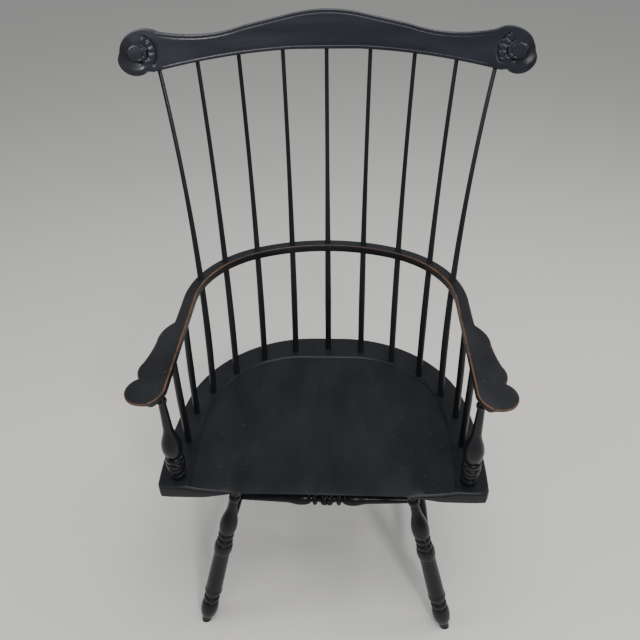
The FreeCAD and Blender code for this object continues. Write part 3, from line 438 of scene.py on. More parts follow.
legSet = {
    "front": {"deckHalf": 151.0, "deckSetback": 80.0, "floorHalf": 261.0, "floorSetback": -3.0},
    "rear": {"deckHalf": 143.0, "deckSetback": 281.0, "floorHalf": 232.0, "floorSetback": 462.0},
    "sunk": 8.0,        # the turning starts this far below the floor, and is cut off there
    "seatBottom": 44.0,
    "turning": [
        (0.0, 21.0, "line"), (21.0, 21.2, "line"), (24.0, 23.5, "line"), (50.0, 37.4, "crown"),
        (71.0, 28.6, "drop"), (78.0, 33.8, "crown"), (85.0, 28.0, "drop"), (91.0, 28.2, "line"),
        (97.5, 35.4, "drop"), (103.0, 37.2, "crown"), (113.0, 35.2, "ogee"), (204.0, 32.6, "line"),
        (210.0, 32.8, "line"), (217.0, 33.6, "drop"), (231.0, 37.8, "crown"), (243.0, 31.0, "drop"),
        (248.5, 33.0, "crown"), (254.0, 27.0, "drop"), (258.0, 26.6, "line"), (264.5, 32.4, "crown"),
        (271.0, 26.6, "drop"), (293.0, 35.8, "crown"), (345.0, 18.6, "ogee"), (357.0, 17.4, "line"),
        (364.0, 23.6, "crown"), (371.0, 18.4, "drop"),
    ],
}


def legLine(end, side):
    leg = legSet[end]
    foot = Vector((side * leg["floorHalf"], -251.0 + leg["floorSetback"], 0)) * 0.001
    return foot, onSeat(side * leg["deckHalf"], leg["deckSetback"])


def makeLegs():
    for end in ("front", "rear"):
        for side, word in bothSides:
            foot, top = legLine(end, side)
            axis = (top - foot).normalized()
            start = foot - axis * legSet["sunk"] * 0.001
            length = (top - start).length * 1000
            shoulder = length - legSet["seatBottom"] / axis.z - 10
            stations = legSet["turning"] + [(shoulder, 28.0, "ogee"), (length - 16, 24.0, "line")]
            bm = turnedMesh(stations, alongLine(start, top))
            everything = bm.verts[:] + bm.edges[:] + bm.faces[:]
            bmesh.ops.bisect_plane(
                bm, geom=everything, dist=1e-7, plane_co=(0, 0, 0), plane_no=(0, 0, -1), clear_outer=True
            )
            closeEnds(bm)
            node = "leg_%s_%s" % (end, word.lower())
            newPiece("turnedLeg" + end.title() + word, bm, turnedPaint, [node])


makeLegs()
print("legs turned")


# stretchers: one along each side, one across between them

stretcherSet = {
    "frontHeight": 153.0,
    "rearHeight": 133.0,
    "intoLeg": 4.0,      # from the leg's axis to the end of the tenon
    "endDia": 15.0,
    "neckDia": 23.0,
    "bellyDia": 31.0,
    "bellyLength": 150.0,
    "straight": 19.0,
    "intoSide": 2.5,
    "medial": [
        (6.0, 33.0, "crown"), (14.5, 20.0, "drop"), (22.0, 17.0, "ogee"), (28.0, 32.6, "crown"),
        (33.5, 18.2, "drop"), (38.0, 19.5, "line"), (61.0, 33.0, "crown"), (98.0, 22.4, "ogee"),
    ],
    "heartDia": 27.0,
}


def makeStretchers():
    middles = {}
    endDia, straight = stretcherSet["endDia"], stretcherSet["straight"]
    for side, word in bothSides:
        ends = []
        for end, key in (("front", "frontHeight"), ("rear", "rearHeight")):
            foot, top = legLine(end, side)
            ends.append(foot + (top - foot) * (stretcherSet[key] * 0.001 / (top.z - foot.z)))
        way = (ends[1] - ends[0]).normalized() * stretcherSet["intoLeg"] * 0.001
        start, last = ends[0] + way, ends[1] - way
        length = (last - start).length * 1000
        near = (length - stretcherSet["bellyLength"]) / 2
        stations = [
            (0.0, endDia, "line"), (straight, endDia, "line"), (near, stretcherSet["neckDia"], "line"),
            (length / 2, stretcherSet["bellyDia"], "dome"), (length - near, stretcherSet["neckDia"], "slope"),
            (length - straight, endDia, "line"), (length, endDia, "line"),
        ]
        bm = turnedMesh(stations, alongLine(start, last))
        newPiece("sideStretcher" + word, bm, turnedPaint, ["side_stretcher_" + word.lower()])
        middles[side] = (start + last) / 2
    across = middles[1] - middles[-1]
    centre = (middles[1] + middles[-1]) / 2
    reach = across.length * 500 - stretcherSet["intoSide"]
    right = [(0.0, stretcherSet["heartDia"], "line")] + stretcherSet["medial"]
    right += [(reach - stretcherSet["straight"], endDia, "line"), (reach, endDia, "line")]
    # the left half is the right half run backwards, so its curves swap their sense
    swapped = {"crown": "drop", "drop": "crown"}
    left = [(-reach, endDia, "line")]
    for inner, outer in zip(right[-2::-1], right[:0:-1]):
        left.append((-inner[0], inner[1], swapped.get(outer[2], outer[2])))
    bm = turnedMesh(left + right[1:], alongLine(centre, middles[1]))
    newPiece("medialStretcher", bm, turnedPaint, ["medial_stretcher"])


makeStretchers()
print("stretchers turned")


# arm posts

postSet = {
    "deckHalf": 266.0,
    "deckSetback": 31.0,
    "railHalf": 259.0,
    "railSetback": 11.0,
    "railThick": 16.0,
    "turning": [
        (-3.0, 26.0, "line"), (2.0, 27.0, "line"), (7.5, 29.6, "crown"), (13.5, 24.0, "drop"),
        (21.0, 22.6, "line"), (27.5, 32.4, "crown"), (34.0, 26.6, "drop"), (41.0, 35.0, "crown"),
        (48.0, 27.0, "drop"), (55.0, 33.6, "crown"), (62.5, 22.0, "drop"), (65.0, 23.0, "line"),
        (87.0, 36.8, "crown"), (140.0, 16.8, "ogee"), (176.0, 14.4, "line"), (202.0, 12.6, "line"),
        (207.0, 17.6, "crown"), (212.0, 12.6, "drop"),
    ],
}


def makePosts():
    for side, word in bothSides:
        foot = onSeat(side * postSet["deckHalf"], postSet["deckSetback"])
        head = onRail(side * postSet["railHalf"], postSet["railSetback"], -postSet["railThick"])
        length = (head - foot).length * 1000
        stations = postSet["turning"] + [(length + 4, 12.6, "line")]
        bm = turnedMesh(stations, alongLine(foot, head))
        newPiece("armPost" + word, bm, turnedPaint, ["arm_post_" + word.lower()])


makePosts()
print("arm posts turned")


# spindles: whittled rods on a shallow bow through their sockets

spindleSet = {
    "sides": 22,
    "rings": 30,
    "circle": 265.0,
    "circleSetback": 156.0,
    "step": 16.5,        # degrees between sockets on the deck
    "pitch": 76.5,       # along the rail
    "crestHalves": (0.0, 80.8, 161.1, 233.9, 298.4),
    "crestEntry": 9.0,
    "railDepth": 8.0,    # where the rail's bores are aimed, below its top
    "girth": [(0.0, 13.0), (0.19, 13.8), (0.38, 12.0), (0.66, 8.6), (1.0, 7.4)],
    "intoSeat": 14.0,
    "intoCrest": 12.0,
}

shortSet = {
    "seatHalf": 265.0,
    "railHalf": 259.0,
    "front": (118.0, 104.0),
    "rear": (199.0, 207.0),
    "railThick": 16.0,
    "bow": 1.0,
    "girth": [(0.0, 12.5), (0.5, 13.2), (1.0, 11.0)],
    "intoSeat": 14.0,
    "intoRail": 6.0,
}


def girthAt(table, share):
    for (low, lowDia), (high, highDia) in zip(table, table[1:]):
        if share <= high:
            return mixed(lowDia, highDia, (share - low) / (high - low))
    return table[-1][1]


def whittledMesh(foot, waist, head, table, before, after):
    # a smooth bow through three points, carried on a little past both ends
    low, high = (waist - foot).length, (head - waist).length
    length = (low + high) * 1000
    share = low / (low + high)

    def at(t):
        return (
            foot * ((t - share) * (t - 1) / share)
            + waist * (t * (t - 1) / (share * (share - 1)))
            + head * (t * (t - share) / (1 - share))
        )

    bm = bmesh.new()
    rings = spindleSet["rings"]
    start, end = -before / length, 1 + after / length
    last = None
    for step in range(rings + 1):
        t = mixed(start, end, step / rings)
        radius = girthAt(table, min(max(t, 0.0), 1.0)) / 2
        way = at(t + 0.004) - at(t - 0.004)
        place = alongLine(at(t), at(t) + way) @ Matrix.Scale(radius, 4)
        if step == 0:
            ring = bmesh.ops.create_circle(
                bm, cap_ends=False, radius=1, segments=spindleSet["sides"], matrix=place
            )["verts"]
            edges = list({edge for vertex in ring for edge in vertex.link_edges})
        else:
            made = bmesh.ops.extrude_edge_only(bm, edges=edges)["geom"]
            ring = [item for item in made if isinstance(item, bmesh.types.BMVert)]
            edges = [
                item for item in made
                if isinstance(item, bmesh.types.BMEdge) and item.verts[0] in ring and item.verts[1] in ring
            ]
            bmesh.ops.transform(bm, matrix=place @ last.inverted(), verts=ring)
        last = place
    closeEnds(bm)
    return bm


railBack = {
    "centre": (0.0, 102.0),
    "radius": 361.0,
    "turn": 23.578,
    "shoulderCentre": (68.0, 257.8),
    "shoulder": 191.0,
}


def railMiddle(distance):
    # a place on the rail's centre line, by its distance from the middle of the back
    side = -1 if distance < 0 else 1
    limit, radius = math.radians(railBack["turn"]), railBack["radius"]
    turn = abs(distance) / radius
    x, setback = railBack["centre"]
    if turn > limit:
        turn = limit + (abs(distance) - radius * limit) / railBack["shoulder"]
        radius = railBack["shoulder"]
        x, setback = railBack["shoulderCentre"]
    return side * (x + radius * math.sin(turn)), setback + radius * math.cos(turn)


crestSet = {
    "radius": 730.0,
    "footThick": 21.0,
    "topThick": 14.0,
    "crownUp": 66.5,
    "outline": [
        (0.0, 66.5, "line"), (32.0, 64.9, "via"), (62.0, 60.2, "line"), (150.0, 41.7, "line"),
        (222.0, 28.8, "via"), (296.0, 35.1, "line"), (334.0, 36.4, "via"), (355.0, 4.0, "line"),
        (348.0, -29.9, "via"), (320.0, -32.5, "line"), (317.4, -28.6, "line"), (315.6, -28.6, "line"),
        (306.0, -30.2, "line"), (176.0, -9.2, "via"),
        (60.0, 0.0, "line"), (0.0, 0.0, "line"),
    ],
    "edgeRound": 2.2,
    "beadInset": 6.0,
    "beadWidth": 0.8,
    "beadDepth": 0.7,
    "wideStep": 7.1,     # between columns along the middle, and on the ears
    "fineStep": 1.1,
    "fineFrom": 284.0,
    "nearEdge": (2.4, 3.6, 4.6, 5.2, 5.7, 6.2, 6.7, 7.4, 8.6),
    "levels": 43,
}


def crestFront(x):
    return math.sqrt(crestSet["radius"] ** 2 - x * x) - crestSet["radius"]


crestLine = traced(crestSet["outline"], 24)
crestTip = max(range(len(crestLine)), key=lambda index: crestLine[index][0])
crestTopLine = crestLine[:crestTip + 1]
crestFootLine = crestLine[crestTip:][::-1]


def heightOn(line, x):
    for (x1, y1), (x2, y2) in zip(line, line[1:]):
        if min(x1, x2) - 1e-9 <= x <= max(x1, x2) + 1e-9 and abs(x2 - x1) > 1e-9:
            return mixed(y1, y2, (x - x1) / (x2 - x1))
    return line[-1][1]


def makeSpindles():
    for place in range(-4, 5):
        side = -1 if place < 0 else 1
        turn = math.radians(place * spindleSet["step"])
        foot = onSeat(
            spindleSet["circle"] * math.sin(turn),
            spindleSet["circleSetback"] + spindleSet["circle"] * math.cos(turn),
        )
        waist = onRail(*railMiddle(place * spindleSet["pitch"]), -spindleSet["railDepth"])
        across = spindleSet["crestHalves"][abs(place)]
        head = crestFrame @ Vector((
            side * across, crestFront(across) + spindleSet["crestEntry"], heightOn(crestFootLine, across)
        ))
        bm = whittledMesh(
            foot, waist, head, spindleSet["girth"], spindleSet["intoSeat"], spindleSet["intoCrest"]
        )
        number = place + 5
        newPiece("longSpindle%d" % number, bm, spindlePaint, ["long_spindle_%d" % number])
    for side, word in bothSides:
        for end in ("front", "rear"):
            seatSetback, railSetback = shortSet[end]
            foot = onSeat(side * shortSet["seatHalf"], seatSetback)
            head = onRail(side * shortSet["railHalf"], railSetback, -shortSet["railThick"])
            waist = (foot + head) / 2 + Vector((side * shortSet["bow"] * 0.001, 0, 0))
            bm = whittledMesh(foot, waist, head, shortSet["girth"], shortSet["intoSeat"], shortSet["intoRail"])
            node = "short_spindle_%s_%s" % (end, word.lower())
            newPiece("shortSpindle" + end.title() + word, bm, spindlePaint, [node])


makeSpindles()
print("spindles whittled")


# seat: rings round a place in the saddle, out over the gutter and the rounded edge, then
# down the side and in under the bevel

seatSet = {
    "spokes": 216,
    "centre": (0.0, 214.0),
    "frontHalf": 300.0,
    "corner": 10.0,
    "sideHalf": 303.0,
    "sideSetback": 113.0,    # where the side is widest
    "backCentre": (32.0, 200.3),
    "backRadius": 262.7,
    "backRise": 48.6,
    "thick": 44.0,
    "edge": 25.0,
    "bevel": 27.0,
    "deckRound": 5.0,
    "frontEdge": 11.0,
    "frontBevel": 55.0,
    "thinHalf": 150.0,
    "thinEnd": 215.0,
    "saddleRings": (0.1, 0.22, 0.34, 0.45, 0.55, 0.64, 0.72, 0.79, 0.85, 0.9, 0.94),
    "gutterRings": (-7.0, -3.4, -2.4, -1.7, -1.0, -0.3, 0.3, 1.0, 1.7, 2.4, 3.4, 7.0),
    "bottomRings": (0.97, 0.7, 0.4, 0.12),
    "lineDepth": 0.6,
    "lineGap": 1.7,
    "lineWidth": 0.7,
}

gutterSet = {
    "frontHalf": 240.0,
    "sideHalf": 247.0,
    "backCentre": (54.0, 203.0),
    "backRadius": 187.0,
    "backRise": 23.8,
}

saddleSet = {
    "rim": 1.5,
    "dish": 13.0,
    "half": 247.0,
    "deepest": 140.0,
    "run": 250.0,
    "roll": 1.5,
    "rollRun": 20.0,
    "pommel": 7.0,
    "pommelHalf": 140.0,
    "pommelRun": 120.0,
}


def backArc(centre, radius, rise):
    # from the end of the side round the shoulder to the middle of the back
    x, setback = centre
    return [
        (x + math.sqrt(radius ** 2 - rise ** 2), setback + rise, "line"),
        (x + radius * math.sqrt(0.5), setback + radius * math.sqrt(0.5), "via"),
        (x, setback + radius, "line"), (0.0, setback + radius, "line"),
    ]


def shieldLine(inset):
    # right half of the plank's outline from the middle of the front to the middle of the back
    front = seatSet["frontHalf"] - inset
    corner, cut = seatSet["corner"], seatSet["corner"] * (1 - math.sqrt(0.5))
    side, radius = seatSet["sideHalf"] - inset, seatSet["backRadius"] - inset
    points = [
        (0.0, inset, "line"), (front - corner, inset, "line"), (front - cut, inset + cut, "via"),
        (front, inset + corner, "line"), (side, seatSet["sideSetback"], "via"),
    ]
    return traced(points + backArc(seatSet["backCentre"], radius, seatSet["backRise"]), 30)


def gutterLine():
    half = gutterSet["frontHalf"]
    points = [
        (half, -400.0, "line"), (half, -10.0, "line"), (gutterSet["sideHalf"], seatSet["sideSetback"], "via"),
    ]
    back = backArc(gutterSet["backCentre"], gutterSet["backRadius"], gutterSet["backRise"])
    return traced(points + back, 30)


def thinned(x):
    # how far the front has been thinned at a distance from the middle, 0 to 1
    share = (seatSet["thinEnd"] - abs(x)) / (seatSet["thinEnd"] - seatSet["thinHalf"])
    return min(max(share, 0.0), 1.0)


def undersideLine():
    line = shieldLine(seatSet["bevel"])
    # more points along the straight front, where the thinning bends it back
    front = [(x, line[0][1]) for x in (0, 75, 150, 160, 170, 180, 190, 200, 215)] + line[1:]
    moved = []
    for x, setback in front:
        if setback < seatSet["bevel"] + 1:
            setback += (seatSet["frontBevel"] - seatSet["bevel"]) * thinned(x)
        moved.append((x, setback))
    return moved


def spokeReach(line, turn):
    # distance from the centre to a half outline along a spoke, and how squarely it is met
    x0, s0 = seatSet["centre"]
    wayX, wayS = abs(math.sin(turn)), math.cos(turn)
    for (x1, s1), (x2, s2) in zip(line, line[1:]):
        side1 = (x1 - x0) * wayS - (s1 - s0) * wayX
        side2 = (x2 - x0) * wayS - (s2 - s0) * wayX
        if side1 * side2 <= 0 and side1 != side2:
            share = side1 / (side1 - side2)
            x, s = mixed(x1, x2, share), mixed(s1, s2, share)
            reach = (x - x0) * wayX + (s - s0) * wayS
            if reach > 0:
                run = math.hypot(x2 - x1, s2 - s1)
                square = abs(wayX * (s2 - s1) - wayS * (x2 - x1)) / run
                return reach, max(square, 0.35)
    return 600.0, 1.0


def saddleDepth(x, setback):
    past = max(setback - saddleSet["deepest"], 0.0)
    fullness = 1 - abs(x / saddleSet["half"]) ** 3 - (past / saddleSet["run"]) ** 3
    roll = saddleSet["roll"] * max(1 - setback / saddleSet["rollRun"], 0.0) ** 2
    pommel = math.exp(-((x / saddleSet["pommelHalf"]) ** 2) - max(setback, 0.0) / saddleSet["pommelRun"])
    return saddleSet["rim"] + saddleSet["dish"] * fullness + roll - saddleSet["pommel"] * pommel


def scribed(gap):
    # depth of the double line at a distance from its middle: a groove on each side of a ridge
    return bump(abs(gap) - seatSet["lineGap"], seatSet["lineWidth"])


def deckDepth(x, setback, gap):
    # gap is the distance outside the gutter line
    return eased(0.5 - gap / 2.0) * saddleDepth(x, setback) + seatSet["lineDepth"] * scribed(gap)


def frontShare(place):
    return thinned(place.x) if place.y < 30 else 0.0


def makeSeat():
    bm = bmesh.new()
    plank, gutter, under = shieldLine(0.0), gutterLine(), undersideLine()
    count, thick = seatSet["spokes"], seatSet["thick"]
    x0, s0 = seatSet["centre"]
    spokes = []
    for index in range(count):
        turn = -math.pi + 2 * math.pi * (index + 0.5) / count
        reach, square = spokeReach(plank, turn)
        gutterReach, gutterSquare = spokeReach(gutter, turn)
        spokes.append((turn, reach, square, gutterReach, gutterSquare, spokeReach(under, turn)[0]))

    def spot(spoke, reach, lift):
        return Vector((x0 + reach * math.sin(spoke[0]), s0 + reach * math.cos(spoke[0]), lift))

    def topRing(offset=None, share=None):
        # by a share of the way to the gutter, or by an offset from it
        places, marks = [], []
        for spoke in spokes:
            turn, reach, square, gutterReach, gutterSquare, underReach = spoke
            limit = reach - seatSet["deckRound"] / square
            if share is not None:
                distance = share * (min(gutterReach, limit + 4) - 7.0 / gutterSquare)
            else:
                distance = gutterReach + offset / gutterSquare
            distance = min(distance, limit)
            place = spot(spoke, distance, 0)
            gap = (distance - gutterReach) * gutterSquare
            place.z = -deckDepth(place.x, place.y, gap)
            places.append(place)
            # the scribed line's marks set where the seat's paint is darkened with painted shade
            marks.append(min(1.0, scribed(gap)))
        return places, marks

    def edgeRing(angle):
        # round the upper arris
        places = []
        for spoke in spokes:
            turn, reach, square, gutterReach, gutterSquare, underReach = spoke
            edge = spot(spoke, reach, 0)
            deep = mixed(seatSet["edge"], seatSet["frontEdge"], frontShare(edge))
            gap = (reach - 5 - gutterReach) * gutterSquare
            depth = deckDepth(edge.x, max(edge.y, 0), gap)
            radius = min(seatSet["deckRound"], 0.6 * (deep - depth))
            inward = radius * (1 - math.sin(angle)) / square
            places.append(spot(spoke, reach - inward, -depth - radius * (1 - math.cos(angle))))
        return places, None

    def sideRing(inward, above, below):
        # part of the way in along the bevel, above the foot of the edge or below it
        places = []
        for spoke in spokes:
            deep = mixed(seatSet["edge"], seatSet["frontEdge"], frontShare(spot(spoke, spoke[1], 0)))
            lift = mixed(-deep, -thick, below) + above
            places.append(spot(spoke, mixed(spoke[1], spoke[5], inward), lift))
        return places, None

    rings = [([Vector((x0, s0, -deckDepth(x0, s0, -200)))] * count, None)]
    rings += [topRing(share=share) for share in seatSet["saddleRings"]]
    rings += [topRing(offset=offset) for offset in seatSet["gutterRings"]]
    rings += [edgeRing(math.pi / 2 * step / 5) for step in range(6)]
    rings += [sideRing(0, 1.2, 0), sideRing(0.006, 0.3, 0), sideRing(0.03, 0.2, 0.05)]
    rings += [sideRing(share, 0, share) for share in (0.25, 0.5, 0.75, 0.97, 1.0)]
    for share in seatSet["bottomRings"]:
        rings.append(([spot(spoke, spoke[5] * share, -thick) for spoke in spokes], None))
    rings.append(([Vector((x0, s0, -thick))] * count, None))
    addSkin(bm, rings, "sunk")
    bmesh.ops.transform(bm, matrix=seatFrame, verts=bm.verts)
    newPiece("saddleSeat", bm, seatPaint, ["seat"], crease=50)


makeSeat()
print("seat carved")


# ends of the leg tenons, trimmed to the saddle, each with its wedge

tenonSet = {
    "diameter": 22.0,
    "rings": ((0.0, -0.6), (0.0, -0.02), (0.25, 0.12), (0.8, 0.18), (5.5, 0.18), (11.0, 0.18)),    # inset, proud
    "wedgeWidth": 3.6,
    "wedgeProud": 0.4,
    "segments": 40,
}


def makeTenons():
    bm = bmesh.new()
    half = tenonSet["diameter"] / 2
    for end in ("front", "rear"):
        for side in (-1, 1):
            leg = legSet[end]
            foot, top = legLine(end, side)
            axis = (top - foot).normalized()
            depth = saddleDepth(leg["deckHalf"], leg["deckSetback"])
            middle = Vector((side * leg["deckHalf"], leg["deckSetback"], 0))
            middle.x -= axis.x * depth / axis.z
            middle.y -= axis.y * depth / axis.z
            rings = []
            for inset, proud in tenonSet["rings"]:
                radius = half - inset
                places = []
                for step in range(tenonSet["segments"]):
                    turn = 2 * math.pi * step / tenonSet["segments"]
                    x = middle.x + radius * math.cos(turn)
                    setback = middle.y + radius * math.sin(turn)
                    places.append(Vector((x, setback, proud - saddleDepth(x, setback))))
                rings.append((places, None))
            addSkin(bm, rings)
            strip = bmesh.ops.create_cube(bm, size=1)["verts"]
            level = tenonSet["wedgeProud"] - saddleDepth(middle.x, middle.y) - 0.5
            size = Matrix.Diagonal((tenonSet["wedgeWidth"], tenonSet["diameter"] - 0.6, 1.0, 1))
            place = Matrix.Translation((middle.x, middle.y, level))
            bmesh.ops.transform(bm, matrix=place @ size, verts=strip)
    bmesh.ops.transform(bm, matrix=seatFrame, verts=bm.verts)
    newPiece("legTenons", bm, seatPaint, ["leg_wedges"], crease=30)


makeTenons()
print("tenons trimmed")


# arm rail: one bent strip, its section carried round from the left nose to the right one

railSet = {
    "inner": 248.0,
    "width": 22.0,
    "thick": 16.0,
    "noseStart": 12.0,
    "noseUndercut": 9.0,
    "edgeRound": 2.0,
    "jointRound": 0.02,      # where the hand is glued on
    "fadeFrom": 330.0,       # the rubbed edge fades from here towards the back
    "fadeRun": 110.0,
    "fadeShare": 0.75,
    "handStart": 181.0,
    "nose": [(248.0, 12.0, "line"), (256.0, -14.8, "via"), (270.0, -27.0, "line")],
    "backStations": 40,
}


def roundedSection(width, thick, rounds, steps=4):
    # closed section from (0, 0) at the inner top edge to (width, -thick): (across, lift, worn)
    top, outer, foot, inner = rounds
    corners = (
        (top, -top, math.pi, top, 1.0), (width - outer, -outer, math.pi / 2, outer, 0.7),
        (width - foot, foot - thick, 0.0, foot, 0.2), (inner, inner - thick, -math.pi / 2, inner, 0.2),
    )
    points = []
    for across, lift, start, radius, worn in corners:
        for step in range(steps + 1):
            turn = start - math.pi / 2 * step / steps
            mark = worn * (1.0 if 0 < step < steps else 0.25)
            points.append((across + radius * math.cos(turn), lift + radius * math.sin(turn), mark))
    first, second = points[steps], points[steps + 1]
    extra = [(mixed(first[0], second[0], share), 0.0, 0.0) for share in (0.06, 0.3, 0.7, 0.94)]
    side = points[0]
    below = (side[0], side[1] - 1.2, 0.0)
    return points[:steps + 1] + extra + points[steps + 1:] + [below]


def railStations():
    # half of the rail, as pairs of inner and outer points, from the middle of the back
    limit = math.radians(railBack["turn"])
    shoulder = math.pi / 2 - limit
    long = railSet["backStations"]
    short = long // 2
    half = railSet["width"] / 2

    def across(centre, radius, turn):
        way = Vector((math.sin(turn), math.cos(turn)))
        return Vector(centre) + way * (radius - half), Vector(centre) + way * (radius + half)

    stations = []
    for step in range(short + 1):
        stations.append(across(railBack["centre"], railBack["radius"], limit * step / short))
    for step in range(1, long + 1):
        turn = limit + shoulder * step / long
        stations.append(across(railBack["shoulderCentre"], railBack["shoulder"], turn))
    inner, outer = railSet["inner"], railSet["inner"] + railSet["width"]
    for step in range(1, 25):
        setback = mixed(railBack["shoulderCentre"][1], railSet["noseStart"], step / 24)
        stations.append((Vector((inner, setback)), Vector((outer, setback))))
    for x, setback in traced(railSet["nose"], 18)[1:]:
        stations.append((Vector((x, setback)), Vector((outer, setback))))
    return stations


def railRing(inner, outer):
    span = outer - inner
    width = max(span.length, 0.02)
    way = span / width if width > 0.02 else Vector((1, 0))
    setback = inner.y
    onArm = min(max((railSet["handStart"] + 25 - setback) / 40, 0.0), 1.0) if inner.x > 200 else 0.0
    nose = min(max((railSet["noseStart"] - setback) / 12, 0.0), 1.0)
    most = 0.45 * width
    innerTop = min(railSet["edgeRound"], most)
    joint = min(mixed(railSet["edgeRound"], railSet["jointRound"], onArm), most)
    innerFoot = min(mixed(railSet["edgeRound"], railSet["noseUndercut"], nose), 2 * most)
    places, marks = [], []
    for across, lift, worn in roundedSection(width, railSet["thick"], (innerTop, joint, joint, innerFoot)):
        spot = inner + way * across
        if lift < -4 and nose > 0 and spot.y < -10:
            under = railSet["noseUndercut"] * nose * min(1.0, (-4 - lift) / 12)
            spot.y = max(spot.y, railSet["nose"][2][1] + under)
        if onArm >= 0.5 and across >= width / 2:
            worn = 0.0
        fade = 1.0 - railSet["fadeShare"] * eased((spot.y - railSet["fadeFrom"]) / railSet["fadeRun"])
        places.append(Vector((spot.x, spot.y, lift)))
        marks.append(worn * fade)
    return places, marks


def makeRail():
    bm = bmesh.new()
    rings = [railRing(inner, outer) for inner, outer in railStations()]
    mirrored = [([Vector((-p.x, p.y, p.z)) for p in places], marks) for places, marks in rings[:0:-1]]
    addSkin(bm, mirrored + rings, "worn")
    closeEnds(bm)
    bmesh.ops.transform(bm, matrix=railFrame, verts=bm.verts)
    newPiece("bentRail", bm, armPaint, ["arm_rail"], crease=45)


makeRail()
print("rail bent")


# hands: glued to the outside of the rail, a low edge over a hollow underside

handSet = {
    "outline": [
        (270.0, 181.0, "line"), (284.5, 160.0, "via"), (290.0, 128.0, "line"), (293.0, 98.0, "via"),
        (299.0, 70.0, "line"), (303.2, 52.0, "via"), (297.0, 31.0, "line"), (312.0, 4.0, "via"),
        (296.0, -24.5, "line"), (284.0, -28.0, "via"), (270.0, -27.0, "line"),
    ],
    "joint": 270.0,      # the rail's outer face
    "front": -27.0,
    "foremost": -28.2,
    "thick": 16.0,
    "edge": 4.0,
    "edgeRound": 1.1,
    "undercut": 11.0,
    "underSteps": ((0.22, 0.16), (0.5, 0.42), (0.78, 0.72), (1.0, 1.0)),     # inward, down
}


def handSection(inner, outer, out):
    # from the joint over the top, round the edge and back in under the hand
    edge, thick = handSet["edge"], handSet["thick"]
    soft = min(handSet["edgeRound"], 0.4 * (outer - inner).length)
    section = [(inner, 0.0, 0.0)]
    for share in (0.35, 0.7, 0.9):
        section.append((inner + (outer - out * (soft + 0.9) - inner) * share, 0.0, 0.0))
    section.append((outer - out * (soft + 0.7), 0.0, 0.1))
    for step in range(5):
        turn = math.pi / 2 * step / 4
        spot = outer - out * soft * (1 - math.sin(turn))
        section.append((spot, -soft * (1 - math.cos(turn)), 1.0 if step in (2, 3) else 0.35))
    section.append((outer, -edge + 0.5, 0.25))
    section.append((outer - out * 0.5, -edge, 0.3))
    for share, lift in handSet["underSteps"]:
        section.append((outer - out * handSet["undercut"] * share, mixed(-edge, -thick, lift), 0.0))
    section.append((inner, -thick, 0.0))
    return section


def makeHands():
    joint, front, edge = handSet["joint"], handSet["front"], handSet["edge"]
    line = [Vector(point) for point in traced(handSet["outline"], 16)]
    runs = [0.0]
    for a, b in zip(line, line[1:]):
        runs.append(runs[-1] + (b - a).length)
    turnAt = next(index for index, point in enumerate(line) if point.y < 8)
    for side, word in bothSides:
        bm = bmesh.new()
        rings = []
        for index, outer in enumerate(line):
            before, after = line[max(index - 1, 0)], line[min(index + 1, len(line) - 1)]
            along = (after - before).normalized()
            out = Vector((-along.y, along.x))
            if out.x < 0 and index < turnAt:
                out = -out
            if index >= turnAt and out.dot(outer - Vector((joint, 40))) < 0:
                out = -out
            setback = outer.y
            if index >= turnAt:
                setback = mixed(line[turnAt].y, front, (runs[index] - runs[turnAt]) / (runs[-1] - runs[turnAt]))
            places, marks = [], []
            for spot, lift, worn in handSection(Vector((joint, setback)), outer, out):
                hollow = handSet["undercut"] * max(-edge - lift, 0.0) / 12.0
                foremost = front - 0.4 + hollow if hollow else handSet["foremost"]
                places.append(Vector((side * max(spot.x, joint), max(spot.y, foremost), lift)))
                marks.append(worn)
            rings.append((places, marks))
        addSkin(bm, rings, "worn")
        closeEnds(bm)
        bmesh.ops.transform(bm, matrix=railFrame, verts=bm.verts)
        newPiece("carvedHand" + word, bm, armPaint, ["hand_" + word.lower()], crease=40)


makeHands()
print("hands shaped")


# crest: sawn from a bent slab, with a bead line inside its edges and a carved ear at each end

earSet = {
    "from": 288.0,           # where the carving sets in, out from the middle
    "centre": (330.5, 2.2),
    "bossRadius": 12.2,
    "bossLift": 0.5,
    "browDepth": 1.1,
    "wall": 3.0,             # width of the steep wall round the boss
    "slope": 14.0,           # run of the long slope outside it
    "hollow": 3.8,
    "outerRow": {"low": 18.2, "high": 31.5, "from": -47.0, "to": 70.0, "pitch": 23.4, "depth": 2.2},
    "innerRow": {"low": 10.6, "high": 17.4, "from": -84.0, "to": 12.0, "pitch": 32.0, "depth": 1.9},
    "arcRadius": 34.3,
    "arcDepth": 1.2,
}


def rowDepth(row, radius, turn):
    # a row of raised pads round the boss, with a sharp valley between each two
    share = (turn - row["from"]) / (row["to"] - row["from"])
    if not (row["low"] - 1 < radius < row["high"] + 1 and 0 < share < 1):
        return 0.0
    field = eased((radius - row["low"]) / 1.6) * eased((row["high"] - radius) / 1.6)
    ends = eased(share * 9) * eased((1 - share) * 9)
    pad = abs(math.sin(math.pi * (turn - row["from"]) / row["pitch"])) ** 0.8
    middle = 1 - ((2 * radius - row["low"] - row["high"]) / (row["high"] - row["low"])) ** 2
    return ends * row["depth"] * (1 - field * pad * max(middle, 0.0) ** 0.5 * 1.15)


